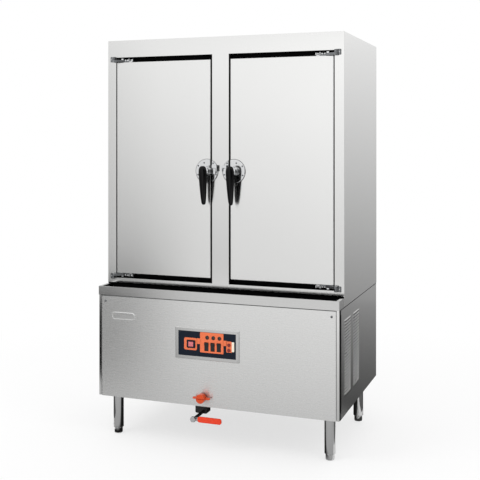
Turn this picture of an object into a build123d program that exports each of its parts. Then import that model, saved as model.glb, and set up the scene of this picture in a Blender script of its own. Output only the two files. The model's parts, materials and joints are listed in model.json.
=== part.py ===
"""A two-door steam cabinet: a louvred base with a water tank, a drip ledge, and a tall steam chamber.

Millimetres. X runs to the right seen from the front, Y to the back, Z up. The origin is on the floor,
under the middle of the whole cabinet with its front and rear fittings.
"""

import os
from math import radians, sin, sqrt

from build123d import *

# Overall form
cabinet_width = 1200.0
cabinet_depth = 820.0  # front of the drip ledge to the back panels
cabinet_height = 1935.0
leg_clearance = 200.0  # floor to the underside of the base
ledge_depth = 95.0  # how far the ledge stands ahead of the door frame
ledge_rim_height = 732.0  # floor to the top of the ledge
apron_height = 42.0
ledge_gap = 6.0  # ledge rim up to the underside of the door frame
sheet = 1.5  # stainless sheet of every panel
cut_margin = 10.0  # overrun of every cutter past the face it cuts
seat_gap = 0.3  # air between a moving piece and what it rests on

# Legs and bullet feet
leg_radius = 25.0
leg_wall = 2.0
leg_side_inset = 64.0
leg_front_inset = 85.0
leg_rear_inset = 150.0
leg_flange = 100.0  # wide enough to lie on the base's bottom rail
leg_flange_thickness = 3.0
leg_plug_height = 24.0
foot_height = 30.0
foot_radius = 19.5
foot_toe_radius = 16.5
foot_toe_height = 6.0
foot_stem_radius = 8.0
foot_stem_length = 55.0
foot_stem_clearance = 0.06

# Base
base_side_inset = 1.0  # ledge end to the base's side
base_front_inset = 4.0  # ledge front to the base's front
base_rail = 25.0  # legs of the angle that frames the base, top and bottom
base_rail_wall = 2.5
post_flange = 13.0  # front strip of each front corner post
post_channel = 10.0  # how far the post's side lies inside its front strip
post_depth = 36.0  # base front to the side panels
post_wall = 2.0
panel_gap = 2.0  # front panel to the corner posts
panel_fold = 14.0  # depth of the front panel's folded edges
panel_top_gap = 4.0
side_seam = 4.0  # side panels to the wrap above them

# Louvres in the side panels
louvre_columns = 2
louvre_length = 140.0
louvre_first_inset = 84.0  # base front to the first column
louvre_column_gap = 33.0
louvre_pitch = 14.4
louvre_lowest = 95.0  # above the base's underside
louvre_highest = 428.0
louvre_height = 8.6
louvre_reach = 3.4  # how far a hood stands out of its panel
louvre_wall = 1.0  # thickness left in a pressed hood

# Drip ledge
rim_width = 6.0
end_rim_width = 14.0
gutter_depth = 28.0
gutter_run_back = 22.0  # how far the gutter runs under the door frame
gutter_hang = 2.0  # gap of the gutter's upstand to the door frame

# Door frame
stile_width = 45.0
mullion_width = 85.0
top_rail = 84.0
bottom_rail = 23.0
frame_foot_fold = 30.0

# Doors
door_side_gap = 8.0  # between each door and the mullion
door_hinge_gap = 4.0
door_top_gap = 24.0
door_bottom_gap = 23.0
door_thickness = 45.0
door_edge_radius = 3.0
door_field_inset = 34.0
door_field_height = 6.0
door_field_slope = 8.0
seal_thickness = 12.0
seal_lap = 22.0  # how far the door laps over its seal
seal_strip = 7.0  # thickness of the strip under the door frame

# Hinges
hinge_axis_inset = 36.0  # cabinet side to the pivot
hinge_axis_reach = 12.0  # pivot ahead of the door frame's face
hinge_pin_radius = 3.5
hinge_pin_clearance = 0.06
hinge_eye_radius = 8.0
hinge_plate_width = 26.0
hinge_plate_height = 22.0
hinge_plate_thickness = 3.0
hinge_plate_inset = 16.0  # cabinet side to the plate
hinge_plate_lap = 2.0  # how far the plate reaches past the opening's edge
hinge_arm_height = 11.5
hinge_arm_root = 50.0  # pivot to the end of the thick part
hinge_arm_length = 80.0  # pivot to the end of the screw foot
hinge_arm_back = 18.0  # reach of the arm behind the door's face
hinge_foot_height = 5.0
hinge_foot_front = 3.0

# Door latches
latch_height = 1295.0  # floor to the latch hub
latch_hub_inset = 18.0  # door's free edge to the hub
rose_radius = 57.0
rose_thickness = 4.0
rose_bevel = 2.0
rose_split = 1.0  # from each half of the rose to the edge it stops at
latch_stud_radius = 7.0
latch_stud_clearance = 0.06
latch_hub_radius = 13.0
latch_hub_reach = 52.0  # door face to the front of the hub
latch_boss_radius = 20.0  # round casting between the grip and the cam
latch_boss_slope = 5.0
cam_lift = 7.0  # door face to the rear of the cam
cam_thickness = 7.0
cam_half_height = 14.0
cam_reach = 48.0
cam_disc_radius = 24.0
lever_bar_width = 14.0
lever_bar_thickness = 6.0
lever_bar_length = 138.0
keeper_lip_gap = 1.0  # cam to the keeper's lip
keeper_lip_thickness = 5.0
keeper_lip_height = 13.0
keeper_lip_length = 20.0
keeper_post_width = 5.0
keeper_post_clearance = 1.5
keeper_clear_height = 1.5  # cam's top edge to the lip at rest
grip_head_radius = 18.0
grip_tip_radius = 9.5
grip_reach = 153.0  # hub to the tip's centre
grip_head_thickness = 30.0
grip_tip_thickness = 22.0
grip_wrap = 2.0  # grip behind the bar inside it
grip_edge = 4.0  # slope along the grip's front edges
grip_lean = 4.0  # degrees that the grip and its bar lean towards the door

# Steam chamber
insulation_thickness = 50.0
chamber_floor_height = 780.0
chamber_back_insulation = 60.0
vent_radius = 24.0
vent_wall = 2.0
vent_shoulder = 1.0  # the spigot is this much thicker than the pipe
vent_drop = 130.0  # chamber roof to the vent
rear_fitting_reach = 40.0  # pipes standing out behind the back panels

# Shelves
shelf_levels = 4
shelf_first_height = 150.0
shelf_headroom = 277.0  # top shelf to the chamber's roof
shelf_depth = 520.0
shelf_side_clearance = 8.0
shelf_fold = 12.0
shelf_slots = 9
shelf_slot_width = 14.0
shelf_slot_margin = 30.0
ladder_bar = 18.0
ladder_bar_thickness = 4.0
ladder_front_inset = 60.0
ladder_span = 440.0
runner_thickness = 2.0
runner_shelf_lap = 12.0

# Tank, grate and heaters
tank_width = 840.0
tank_length = 470.0
tank_drop = 220.0  # chamber floor to the tank's underside
tank_front_inset = 30.0  # chamber front to the tank
tank_flange = 20.0
grate_lap = 12.0
grate_slots = 13
grate_slot_width = 16.0
grate_slot_margin = 45.0
heater_count = 3
heater_pitch = 200.0
heater_radius = 6.0
heater_half_spread = 30.0
heater_height = 42.0  # tank floor to the element
heater_corner = 18.0  # cut across each corner of the hairpin
heater_length = 230.0
heater_boss_radius = 42.0
heater_boss_thickness = 8.0
heater_hole_radius = 38.0  # lets the bent element through, and is closed by its plate

# Water supply
supply_x = -52.0
supply_height = 244.0
supply_radius = 10.5
supply_wall = 2.0
supply_shoulder = 1.0  # the thread is this much thicker than the pipe
valve_body_length = 46.0
valve_body_size = 34.0
valve_stand_back = 70.0  # front panel to the valve body
feed_height = 660.0
feed_corner = 24.0  # cut across the pipe's corner
feed_radius = 8.0
float_body_length = 44.0
float_body_size = 26.0
float_arm_length = 140.0
float_arm_radius = 3.0
float_radius = 28.0
float_length = 64.0
float_end_slope = 12.0
float_rest_drop = 12.0  # degrees that the arm hangs below level
float_pivot_radius = 3.0
float_pivot_clearance = 0.06
float_fork_gap = 1.0
float_fork_wall = 4.0

# Butterfly knob
knob_hub_radius = 21.0
knob_reach = 38.0  # front panel to the knob's face
knob_length = 27.0
knob_wing_span = 84.0
knob_wing_height = 8.0
knob_wing_thickness = 13.0
knob_slot_height = 5.0
knob_slot_depth = 4.0
knob_spindle_radius = 6.0
knob_spindle_clearance = 0.06
knob_hole_clearance = 2.0

# Drain
drain_x = -100.0
drain_setback = 120.0  # ledge front to the drain valve
drain_body_width = 62.0
drain_body_depth = 54.0
drain_body_height = 44.0
drain_body_underside = 136.0
drain_body_round = 9.0
drain_bore_radius = 13.0
drain_pipe_radius = 17.0
drain_pipe_wall = 5.0
drain_pipe_turn_height = 420.0
drain_pipe_corner = 40.0  # cut across each corner of the pipe
drain_spindle_offset = 14.0
drain_spindle_height = 148.0
drain_spindle_radius = 7.0
drain_spindle_clearance = 0.06
drain_spindle_seat = 10.0
drain_nut_radius = 14.0
drain_nut_length = 12.0
drain_lever_reach = 40.0  # ledge front to the nut's face
drain_bar_thickness = 4.0
drain_bar_width = 18.0
drain_bar_length = 130.0
drain_sleeve_start = 20.0
drain_sleeve_reach = 138.0
drain_sleeve_width = 26.0
drain_sleeve_thickness = 9.0
drain_sleeve_round = 3.0

# Control panel, placed from the fascia's top left corner
bezel_x = -30.5
bezel_height = 491.0
fascia_width = 288.0
fascia_height = 115.0
fascia_thickness = 4.0
fascia_inset = 1.0  # bezel's face to the fascia's face
bezel_border = 16.0
bezel_thickness = 5.0
bezel_slope = 2.0
control_clearance = 0.3
lamp_count = 3
lamp_radius = 9.0
lamp_reach = 3.0
lamp_x = 146.0
lamp_pitch = 30.5
lamp_drop = 24.5
rocker_count = 3
rocker_x = 142.0
rocker_pitch = 31.0
rocker_drop = 67.0
rocker_width = 20.0
rocker_radius = 20.0
rocker_pivot_depth = 7.0
rocker_rise = 1.0
rocker_end_rise = 3.5
rocker_back = 8.0
rocker_tilt = 8.0
power_x = 64.5
power_drop = 60.0
power_surround_width = 42.0
power_surround_height = 36.0
power_button_width = 24.0
power_button_height = 22.0
power_button_rise = 3.0
power_surround_rise = 3.0
push_x = 254.0
push_drops = (51.0, 75.0)
push_radius = 7.5
push_rise = 4.0
button_travel = 2.5
control_box_depth = 62.0
control_box_border = 6.0

# Cable gland at the back
gland_side_inset = 170.0
gland_height = 290.0
gland_radius = 14.0
gland_bore_radius = 7.0
gland_nut_radius = 18.0
gland_nut_length = 8.0
gland_reach = 30.0

# Places worked out from the sizes above
half_width = cabinet_width / 2
front_reach = max(drain_lever_reach, knob_reach - base_front_inset)
front_y = (front_reach - cabinet_depth - rear_fitting_reach) / 2
back_y = front_y + cabinet_depth
frame_y = front_y + ledge_depth
apron_bottom = ledge_rim_height - apron_height
gutter_floor = ledge_rim_height - gutter_depth

frame_bottom = ledge_rim_height + ledge_gap
opening_bottom = frame_bottom + bottom_rail
opening_top = cabinet_height - top_rail
opening_inner = mullion_width / 2
opening_outer = half_width - stile_width
lip_y = frame_y + door_thickness + seat_gap + seal_thickness

door_inner = opening_inner + door_side_gap
door_outer = opening_outer - door_hinge_gap
door_bottom = opening_bottom + door_bottom_gap
door_top = opening_top - door_top_gap
door_back_y = frame_y + door_thickness
mouth_inner = door_inner + seal_lap
mouth_outer = door_outer - seal_lap
mouth_bottom = door_bottom + seal_lap
mouth_top = door_top - seal_lap

chamber_y = lip_y + sheet
chamber_half = half_width - sheet - insulation_thickness - sheet
chamber_top = cabinet_height - sheet - insulation_thickness - sheet
chamber_back_y = back_y - sheet - chamber_back_insulation - sheet
chamber_underside = chamber_floor_height - sheet
vent_z = chamber_top - vent_drop
shelves_height = chamber_top - chamber_floor_height
shelf_pitch = (shelves_height - shelf_first_height - shelf_headroom) / (shelf_levels - 1)

base_half = half_width - base_side_inset
base_y = front_y + base_front_inset
base_inner_half = base_half - sheet
panel_half = base_half - post_flange - panel_gap
panel_top = apron_bottom - panel_top_gap

leg_x = half_width - leg_side_inset
gland_x = half_width - gland_side_inset
leg_front_y = front_y + leg_front_inset
leg_rear_y = back_y - leg_rear_inset

hinge_x = half_width - hinge_axis_inset
hinge_y = frame_y - hinge_axis_reach
latch_x = door_inner + latch_hub_inset
cam_face_y = frame_y - cam_lift - cam_thickness
hub_face_y = frame_y - latch_hub_reach
grip_back_y = hub_face_y + lever_bar_thickness + grip_wrap

tank_y = chamber_y + tank_front_inset
tank_back_y = tank_y + tank_length
tank_floor = chamber_floor_height - tank_drop
heater_z = tank_floor + sheet + heater_height

drain_y = front_y + drain_setback
drain_body_top = drain_body_underside + drain_body_height
drain_spindle_x = drain_x + drain_spindle_offset
drain_spindle_front = front_y - drain_lever_reach
drain_bar_y = drain_spindle_front + drain_nut_length

fascia_left = bezel_x - fascia_width / 2
fascia_top = bezel_height + fascia_height / 2
bezel_y = base_y - bezel_thickness
fascia_y = bezel_y + fascia_inset
fascia_back_y = fascia_y + fascia_thickness


def block(x0, x1, y0, y1, z0, z1):
    """A box between two opposite corners."""
    middle = Pos((x0 + x1) / 2, (y0 + y1) / 2, (z0 + z1) / 2)
    return middle * Box(x1 - x0, y1 - y0, z1 - z0)


def pin_x(radius, x0, x1, y, z):
    """A cylinder along X."""
    return Pos((x0 + x1) / 2, y, z) * Rot(0, 90, 0) * Cylinder(radius, x1 - x0)


def pin_y(radius, y0, y1, x, z):
    """A cylinder along Y."""
    return Pos(x, (y0 + y1) / 2, z) * Rot(90, 0, 0) * Cylinder(radius, y1 - y0)


def pin_z(radius, z0, z1, x, y):
    """A cylinder along Z."""
    return Pos(x, y, (z0 + z1) / 2) * Cylinder(radius, z1 - z0)


def hex_y(radius, y0, y1, x, z):
    """A hexagonal bar along Y, as a nut or a spanner flat."""
    section = Plane.XZ.offset(-y0) * Pos(x, z) * RegularPolygon(radius, 6)
    return extrude(section, amount=y0 - y1)


def mirrored(shape):
    """The same piece on the other side of the cabinet."""
    return mirror(shape, about=Plane.YZ)


def save(node, *shapes):
    """Writes one node, as one solid or as a group of separate solids."""
    solids = [solid for shape in shapes for solid in shape.solids()]
    whole = solids[0] if len(solids) == 1 else Compound(children=solids)
    export_step(whole, f"parts/{node}.step")


# Legs and feet


def leg(x, y):
    """A leg tube with its flange inside the base and the plug that the foot screws into."""
    flange_bottom = leg_clearance + sheet + base_rail_wall
    flange_top = flange_bottom + leg_flange_thickness
    half = leg_flange / 2
    tube = pin_z(leg_radius, foot_height, flange_top, x, y)
    tube += block(x - half, x + half, y - half, y + half, flange_bottom, flange_top)
    tube -= pin_z(leg_radius - leg_wall, foot_height + leg_plug_height, flange_top + cut_margin, x, y)
    bore = foot_stem_radius + foot_stem_clearance
    return tube - pin_z(bore, foot_height - cut_margin, flange_top, x, y)


def foot(x, y):
    """A bullet foot: a round body tapering to its toe, on a screw stem."""
    shoulder = foot_height - seat_gap
    profile = Polyline(
        (0, 0),
        (foot_toe_radius, 0),
        (foot_radius, foot_toe_height),
        (foot_radius, shoulder),
        (foot_stem_radius, shoulder),
        (foot_stem_radius, shoulder + foot_stem_length),
        (0, shoulder + foot_stem_length),
        close=True,
    )
    return Pos(x, y, 0) * revolve(Plane.XZ * make_face(profile), Axis.Z)


# Base


def base_rail_ring(z0, z1, inward_at):
    """An angle frame round the base, its inward leg at the height given."""
    x1 = base_inner_half
    y0 = base_y + panel_fold
    y1 = back_y - sheet
    ring = block(-x1, x1, y0, y1, z0, z1)
    ring -= block(
        base_rail_wall - x1,
        x1 - base_rail_wall,
        y0 + base_rail_wall,
        y1 - base_rail_wall,
        z0 - cut_margin,
        z1 + cut_margin,
    )
    leg_ring = block(-x1, x1, y0, y1, inward_at, inward_at + base_rail_wall)
    leg_ring -= block(
        base_rail - x1,
        x1 - base_rail,
        y0 + base_rail,
        y1 - base_rail,
        inward_at - cut_margin,
        inward_at + cut_margin,
    )
    return ring + leg_ring


def front_post():
    """The right front strip, with a web that is set back from the side."""
    bottom = leg_clearance + sheet
    strip = block(base_half - post_flange, base_half, base_y, base_y + post_wall, bottom, apron_bottom)
    return strip + post_web(base_y, base_y + panel_fold)


def post_web(y0, y1):
    """A stretch of the web behind the right front strip, at the bottom of the dark channel beside it."""
    web_x = base_half - post_channel
    return block(web_x - post_wall, web_x, y0, y1, leg_clearance + sheet, apron_bottom)


def base_frame():
    """The welded frame: a bottom ring, a top ring, two front webs and two rear posts."""
    bottom = leg_clearance + sheet
    top = apron_bottom
    frame = base_rail_ring(bottom, bottom + base_rail, bottom)
    frame += base_rail_ring(top - base_rail, top, top - base_rail_wall)
    web = post_web(base_y + panel_fold, base_y + post_depth)
    frame += web + mirrored(web)
    inner = base_inner_half
    rear = block(
        inner - base_rail, inner, back_y - sheet - base_rail_wall, back_y - sheet, bottom, top
    )
    rear += block(
        inner - base_rail_wall, inner, back_y - sheet - base_rail, back_y - sheet, bottom, top
    )
    return frame + rear + mirrored(rear)


def base_bottom_plate():
    """The bottom plate, with holes for the legs and the drain pipe."""
    plate = block(
        -base_half, base_half, base_y + panel_fold, back_y, leg_clearance, leg_clearance + sheet
    )
    for x in (-leg_x, leg_x):
        for y in (leg_front_y, leg_rear_y):
            plate -= pin_z(leg_radius, leg_clearance - cut_margin, leg_clearance + cut_margin, x, y)
    hole = drain_pipe_radius + panel_gap
    return plate - pin_z(hole, leg_clearance - cut_margin, leg_clearance + cut_margin, drain_x, drain_y)


def base_front_panel():
    """The front service panel: a folded pan with the control cut-out and the knob's hole."""
    panel = block(-panel_half, panel_half, base_y, base_y + panel_fold, leg_clearance, panel_top)
    panel -= block(
        sheet - panel_half,
        panel_half - sheet,
        base_y + sheet,
        base_y + panel_fold + cut_margin,
        leg_clearance + sheet,
        panel_top - sheet,
    )
    half_cut_x = fascia_width / 2 + control_clearance
    half_cut_z = fascia_height / 2 + control_clearance
    panel -= block(
        bezel_x - half_cut_x,
        bezel_x + half_cut_x,
        base_y - cut_margin,
        base_y + cut_margin,
        bezel_height - half_cut_z,
        bezel_height + half_cut_z,
    )
    hole = knob_spindle_radius + knob_hole_clearance
    return panel - pin_y(hole, base_y - cut_margin, base_y + cut_margin, supply_x, supply_height)


def louvre_wedge(y0, y1, z0, shrink):
    """A wedge that leans out from the right panel to its lower edge, smaller by the value given."""
    section = Plane.XZ.offset(-y0) * make_face(
        Polyline(
            (base_inner_half, z0),
            (base_half + louvre_reach - shrink, z0),
            (base_half, z0 + louvre_height - shrink),
            (base_inner_half, z0 + louvre_height - shrink),
            close=True,
        )
    )
    return extrude(section, amount=y0 - y1)


def louvre_places():
    """The front edge and the height of each louvre of the right panel."""
    rows = int((louvre_highest - louvre_lowest) / louvre_pitch) + 1
    places = []
    for column in range(louvre_columns):
        start = base_y + louvre_first_inset + column * (louvre_length + louvre_column_gap)
        for row in range(rows):
            places.append((start, leg_clearance + louvre_lowest + row * louvre_pitch))
    return places


def louvre_panel():
    """The right side panel, with columns of pressed hoods that are open underneath."""
    y0 = base_y + post_depth
    z0 = leg_clearance + sheet
    z1 = apron_bottom - side_seam
    panel = block(base_inner_half, base_half, y0, back_y - sheet, z0, z1)
    hoods = []
    hollows = []
    for y, z in louvre_places():
        hoods.append(louvre_wedge(y, y + louvre_length, z, 0))
        hollow = louvre_wedge(y + sheet, y + louvre_length - sheet, z, louvre_wall)
        hollows.append(hollow)
    return (panel + hoods) - hollows


def back_panels():
    """The lower and the upper rear panels, with holes for the pipe, the gland and the vent."""
    y0 = back_y - sheet
    y1 = back_y + cut_margin
    lower = block(-base_inner_half, base_inner_half, y0, back_y, leg_clearance + sheet, apron_bottom)
    lower -= pin_y(supply_radius - supply_shoulder, y0 - cut_margin, y1, supply_x, supply_height)
    lower -= pin_y(gland_radius, y0 - cut_margin, y1, gland_x, gland_height)
    upper = block(-half_width, half_width, y0, back_y, apron_bottom, cabinet_height)
    return lower, upper - vent_pipe_cut()


def drip_ledge():
    """The ledge: apron, hemmed rim and gutter, with closed ends that return along the sides."""
    top = ledge_rim_height
    floor = gutter_floor
    rear = frame_y + gutter_run_back
    end_inner = half_width - end_rim_width
    ledge = block(-half_width, half_width, front_y, front_y + sheet, apron_bottom, top)
    ledge += block(-half_width, half_width, front_y, front_y + rim_width, top - sheet, top)
    ledge += block(-end_inner, end_inner, front_y + rim_width - sheet, front_y + rim_width, floor, top)
    ledge += block(-end_inner, end_inner, front_y + rim_width - sheet, rear, floor, floor + sheet)
    upstand_top = frame_bottom - gutter_hang
    ledge += block(-end_inner, end_inner, rear - sheet, rear, floor, upstand_top)
    side = block(half_width - sheet, half_width, front_y, frame_y, apron_bottom, top)
    side += block(end_inner - sheet, half_width, front_y, frame_y, top - sheet, top)
    side += block(end_inner - sheet, end_inner, front_y, rear, floor, top)
    return ledge + side + mirrored(side)


# Upper cabinet


def outer_wrap():
    """The two sides and the top, as one folded wrap."""
    y0 = frame_y + sheet
    y1 = back_y - sheet
    wrap = block(-half_width, half_width, y0, y1, apron_bottom, cabinet_height)
    inside = half_width - sheet
    return wrap - block(
        -inside, inside, y0 - cut_margin, y1 + cut_margin, apron_bottom - cut_margin, cabinet_height - sheet
    )


def front_frame():
    """The door frame: a face with two openings, their jambs, and the lip behind that carries the seals."""
    jamb_x = opening_outer + sheet
    jamb_bottom = opening_bottom - sheet
    jamb_top = opening_top + sheet
    face = block(-half_width, half_width, frame_y, frame_y + sheet, frame_bottom, cabinet_height)
    fold_x = half_width - sheet
    foot_fold = block(-fold_x, fold_x, frame_y, frame_y + frame_foot_fold, frame_bottom, frame_bottom + sheet)
    jambs = block(-jamb_x, jamb_x, frame_y, lip_y, jamb_bottom, jamb_top)
    mullion_inside = opening_inner - sheet
    jambs -= block(
        -mullion_inside, mullion_inside, frame_y - cut_margin, lip_y + cut_margin, jamb_bottom, jamb_top
    )
    lip = block(-jamb_x, jamb_x, lip_y, lip_y + sheet, jamb_bottom, jamb_top)
    frame = face + foot_fold + jambs + lip
    for side in (-1, 1):
        x0, x1 = sorted((side * opening_inner, side * opening_outer))
        frame -= block(x0, x1, frame_y - cut_margin, lip_y, opening_bottom, opening_top)
        x0, x1 = sorted((side * mouth_inner, side * mouth_outer))
        frame -= block(x0, x1, lip_y - cut_margin, lip_y + cut_margin, mouth_bottom, mouth_top)
    return frame


def rubber_seals():
    """The black door seals on the frame's lip, and the strip between the ledge and the door frame."""
    seals = []
    for side in (-1, 1):
        x0, x1 = sorted((side * opening_inner, side * opening_outer))
        ring = block(x0, x1, lip_y - seal_thickness, lip_y, opening_bottom, opening_top)
        x0, x1 = sorted((side * mouth_inner, side * mouth_outer))
        ring -= block(x0, x1, frame_y, lip_y + cut_margin, mouth_bottom, mouth_top)
        seals.append(ring)
    end = half_width - end_rim_width
    strip_front = frame_y + gutter_run_back - sheet
    seals.append(
        block(
            sheet - end,
            end - sheet,
            strip_front - seal_strip,
            strip_front,
            gutter_floor + sheet,
            frame_bottom,
        )
    )
    return seals


def vent_pipe_cut():
    """The outside of the vent pipe, to pass it through what lies behind the chamber."""
    return pin_y(
        vent_radius - vent_shoulder, chamber_back_y - cut_margin, back_y + cut_margin, 0, vent_z
    )


def strips_round(half, y0, y1, side, front, rear, z0, z1):
    """Four sheets round a rectangular hole, as wide as given at its sides, front and rear."""
    return [
        block(-half - side, half + side, y0 - front, y0, z0, z1),
        block(-half - side, half + side, y1, y1 + rear, z0, z1),
        block(half, half + side, y0, y1, z0, z1),
        block(-half - side, -half, y0, y1, z0, z1),
    ]


def chamber_liner():
    """The steam chamber's sheets: sides, roof, back, a floor round the tank's mouth, and the vent pipe."""
    rear = chamber_back_y + sheet
    roof = chamber_top + sheet
    side = block(chamber_half, chamber_half + sheet, chamber_y, rear, chamber_underside, roof)
    top = block(-chamber_half, chamber_half, chamber_y, chamber_back_y, chamber_top, roof)
    back = block(-chamber_half, chamber_half, chamber_back_y, rear, chamber_underside, roof)
    half_tank = tank_width / 2
    floor = strips_round(
        half_tank,
        tank_y,
        tank_back_y,
        chamber_half - half_tank,
        tank_y - chamber_y,
        chamber_back_y - tank_back_y,
        chamber_underside,
        chamber_floor_height,
    )
    end = back_y + rear_fitting_reach
    pipe = pin_y(vent_radius - vent_shoulder, rear, back_y, 0, vent_z)
    pipe += pin_y(vent_radius, back_y, end, 0, vent_z)
    inside = vent_radius - vent_shoulder - vent_wall
    bore = pin_y(inside, chamber_back_y - cut_margin, end + cut_margin, 0, vent_z)
    return [side, mirrored(side), top, back - bore, *floor, pipe - bore]


def insulation():
    """Slabs between the chamber and the outer sheets: two sides, the top and the back."""
    inner = chamber_half + sheet
    outer = half_width - sheet
    rear = chamber_back_y + sheet
    roof = chamber_top + sheet
    side = block(inner, outer, chamber_y, rear, chamber_underside, roof)
    top = block(-outer, outer, chamber_y, rear, roof, cabinet_height - sheet)
    back = block(-outer, outer, rear, back_y - sheet, chamber_underside, cabinet_height - sheet)
    return side, mirrored(side), top, back - vent_pipe_cut()


def shelf_edges():
    """Where the right-hand shelves start and end along X."""
    return mouth_inner + shelf_side_clearance, mouth_outer - shelf_side_clearance


def shelf_height(level):
    """Height of a shelf's underside."""
    return chamber_floor_height + shelf_first_height + level * shelf_pitch


def ladder(wall_x, reach_x, foot_z):
    """A shelf ladder: two flat uprights, and a strip at each level that reaches under the shelf's edge."""
    towards = 1 if reach_x > wall_x else -1
    x0, x1 = sorted((wall_x, wall_x + towards * ladder_bar_thickness))
    y0 = chamber_y + ladder_front_inset
    y1 = y0 + ladder_span
    pieces = [block(x0, x1, y, y + ladder_bar, foot_z, chamber_top) for y in (y0, y1 - ladder_bar)]
    x0, x1 = sorted((wall_x + towards * ladder_bar_thickness, reach_x))
    for level in range(shelf_levels):
        z = shelf_height(level)
        pieces.append(block(x0, x1, y0, y1, z - runner_thickness, z))
    return pieces


def shelf_ladders():
    """The ladders of the right bay: one on the chamber's wall and one near the middle."""
    start, end = shelf_edges()
    wall = ladder(chamber_half, end - runner_shelf_lap, chamber_floor_height)
    middle_x = start - ladder_bar_thickness - shelf_side_clearance
    middle = ladder(middle_x, start + runner_shelf_lap, chamber_floor_height + sheet)
    return wall + middle


def slotted_sheet(x0, x1, y0, y1, z, slots, slot_width, margin):
    """A flat sheet with a row of long slots that run front to back."""
    plate = block(x0, x1, y0, y1, z, z + sheet)
    pitch = (x1 - x0 - 2 * margin) / (slots - 1)
    cutters = []
    for index in range(slots):
        x = x0 + margin + index * pitch
        cutters.append(
            block(
                x - slot_width / 2,
                x + slot_width / 2,
                y0 + margin,
                y1 - margin,
                z - cut_margin,
                z + cut_margin,
            )
        )
    return plate - cutters


def shelf(level):
    """One slotted shelf of the right bay, with a folded front and back edge."""
    start, end = shelf_edges()
    y0 = chamber_y + ladder_front_inset - shelf_fold
    y1 = y0 + shelf_depth
    z = shelf_height(level)
    sheet_part = slotted_sheet(
        start, end, y0, y1, z, shelf_slots, shelf_slot_width, shelf_slot_margin
    )
    front = block(start, end, y0, y0 + sheet, z - shelf_fold, z)
    back = block(start, end, y1 - sheet, y1, z - shelf_fold, z)
    return sheet_part + front + back


def steam_grate():
    """The slotted grate on the chamber's floor, over the tank."""
    half = tank_width / 2 + grate_lap
    return slotted_sheet(
        -half,
        half,
        tank_y - grate_lap,
        tank_back_y + grate_lap,
        chamber_floor_height,
        grate_slots,
        grate_slot_width,
        grate_slot_margin,
    )


# Tank, heaters and pipes


def heater_places():
    """The X places of the heating elements, spread about the middle."""
    first = -heater_pitch * (heater_count - 1) / 2
    return [first + index * heater_pitch for index in range(heater_count)]


def water_tank():
    """The open water tank under the chamber's floor: bottom, walls, flange, and holes for its fittings."""
    half = tank_width / 2
    outer = half + sheet
    front = tank_y - sheet
    rear = tank_back_y + sheet
    bottom = block(-outer, outer, front, rear, tank_floor, tank_floor + sheet)
    middle_y = (tank_y + tank_back_y) / 2
    drain_hole = drain_pipe_radius - drain_pipe_wall
    bottom -= pin_z(drain_hole, tank_floor - cut_margin, tank_floor + cut_margin, drain_x, middle_y)
    walls = strips_round(
        half, tank_y, tank_back_y, sheet, sheet, sheet, tank_floor + sheet, chamber_underside
    )
    for x in heater_places():
        walls[1] -= pin_y(heater_hole_radius, tank_back_y - cut_margin, rear + cut_margin, x, heater_z)
    lip = tank_flange
    flange = strips_round(outer, front, rear, lip, lip, lip, chamber_underside - sheet, chamber_underside)
    return [bottom, *walls, *flange]


def tube_along(points, radius):
    """A round bar along straight runs with mitred corners."""
    path = Polyline(*points)
    start = Plane(origin=path @ 0, z_dir=path % 0)
    return sweep(start * Circle(radius), path=path, transition=Transition.RIGHT)


def heating_element(x):
    """A hairpin tube element with cut corners, on a round plate outside the tank's rear wall."""
    wall = tank_back_y + sheet
    turn_y = wall - heater_length
    x0 = x - heater_half_spread
    x1 = x + heater_half_spread
    points = (
        (x0, wall, heater_z),
        (x0, turn_y + heater_corner, heater_z),
        (x0 + heater_corner, turn_y, heater_z),
        (x1 - heater_corner, turn_y, heater_z),
        (x1, turn_y + heater_corner, heater_z),
        (x1, wall, heater_z),
    )
    plate = pin_y(heater_boss_radius, wall, wall + heater_boss_thickness, x, heater_z)
    return tube_along(points, heater_radius), plate


def valve_rear_y():
    """The rear of the water inlet valve's body."""
    return base_y + valve_stand_back + valve_body_length


def supply_pipe():
    """The inlet pipe, from its thread behind the back panel to the valve near the front."""
    end = back_y + rear_fitting_reach
    pipe = pin_y(supply_radius - supply_shoulder, valve_rear_y(), back_y, supply_x, supply_height)
    pipe += pin_y(supply_radius, back_y, end, supply_x, supply_height)
    bore = supply_radius - supply_shoulder - supply_wall
    return pipe - pin_y(bore, valve_rear_y() - cut_margin, end + cut_margin, supply_x, supply_height)


def feed_pipe():
    """The pipe up from the valve to the float valve, on the outside of the tank's front wall."""
    y = base_y + valve_stand_back + valve_body_length / 2
    points = (
        (supply_x, y, supply_height + valve_body_size / 2),
        (supply_x, y, feed_height - feed_corner),
        (supply_x, y + feed_corner, feed_height),
        (supply_x, tank_y - sheet, feed_height),
    )
    return tube_along(points, feed_radius)


def inlet_valve_body():
    """The water inlet valve: a brass block with a hexagonal rear and the bore of its spindle."""
    y0 = base_y + valve_stand_back
    y1 = valve_rear_y()
    half = valve_body_size / 2
    x0 = supply_x - half
    x1 = supply_x + half
    body = pin_y(half, y0, y1, supply_x, supply_height)
    body += block(x0, x1, y0 + sheet, y1 - half, supply_height - half, supply_height + half)
    body += hex_y(half, y1 - half, y1, supply_x, supply_height)
    seat = knob_spindle_radius + knob_spindle_clearance
    return body - pin_y(seat, y0 - cut_margin, (y0 + y1) / 2, supply_x, supply_height)


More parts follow.
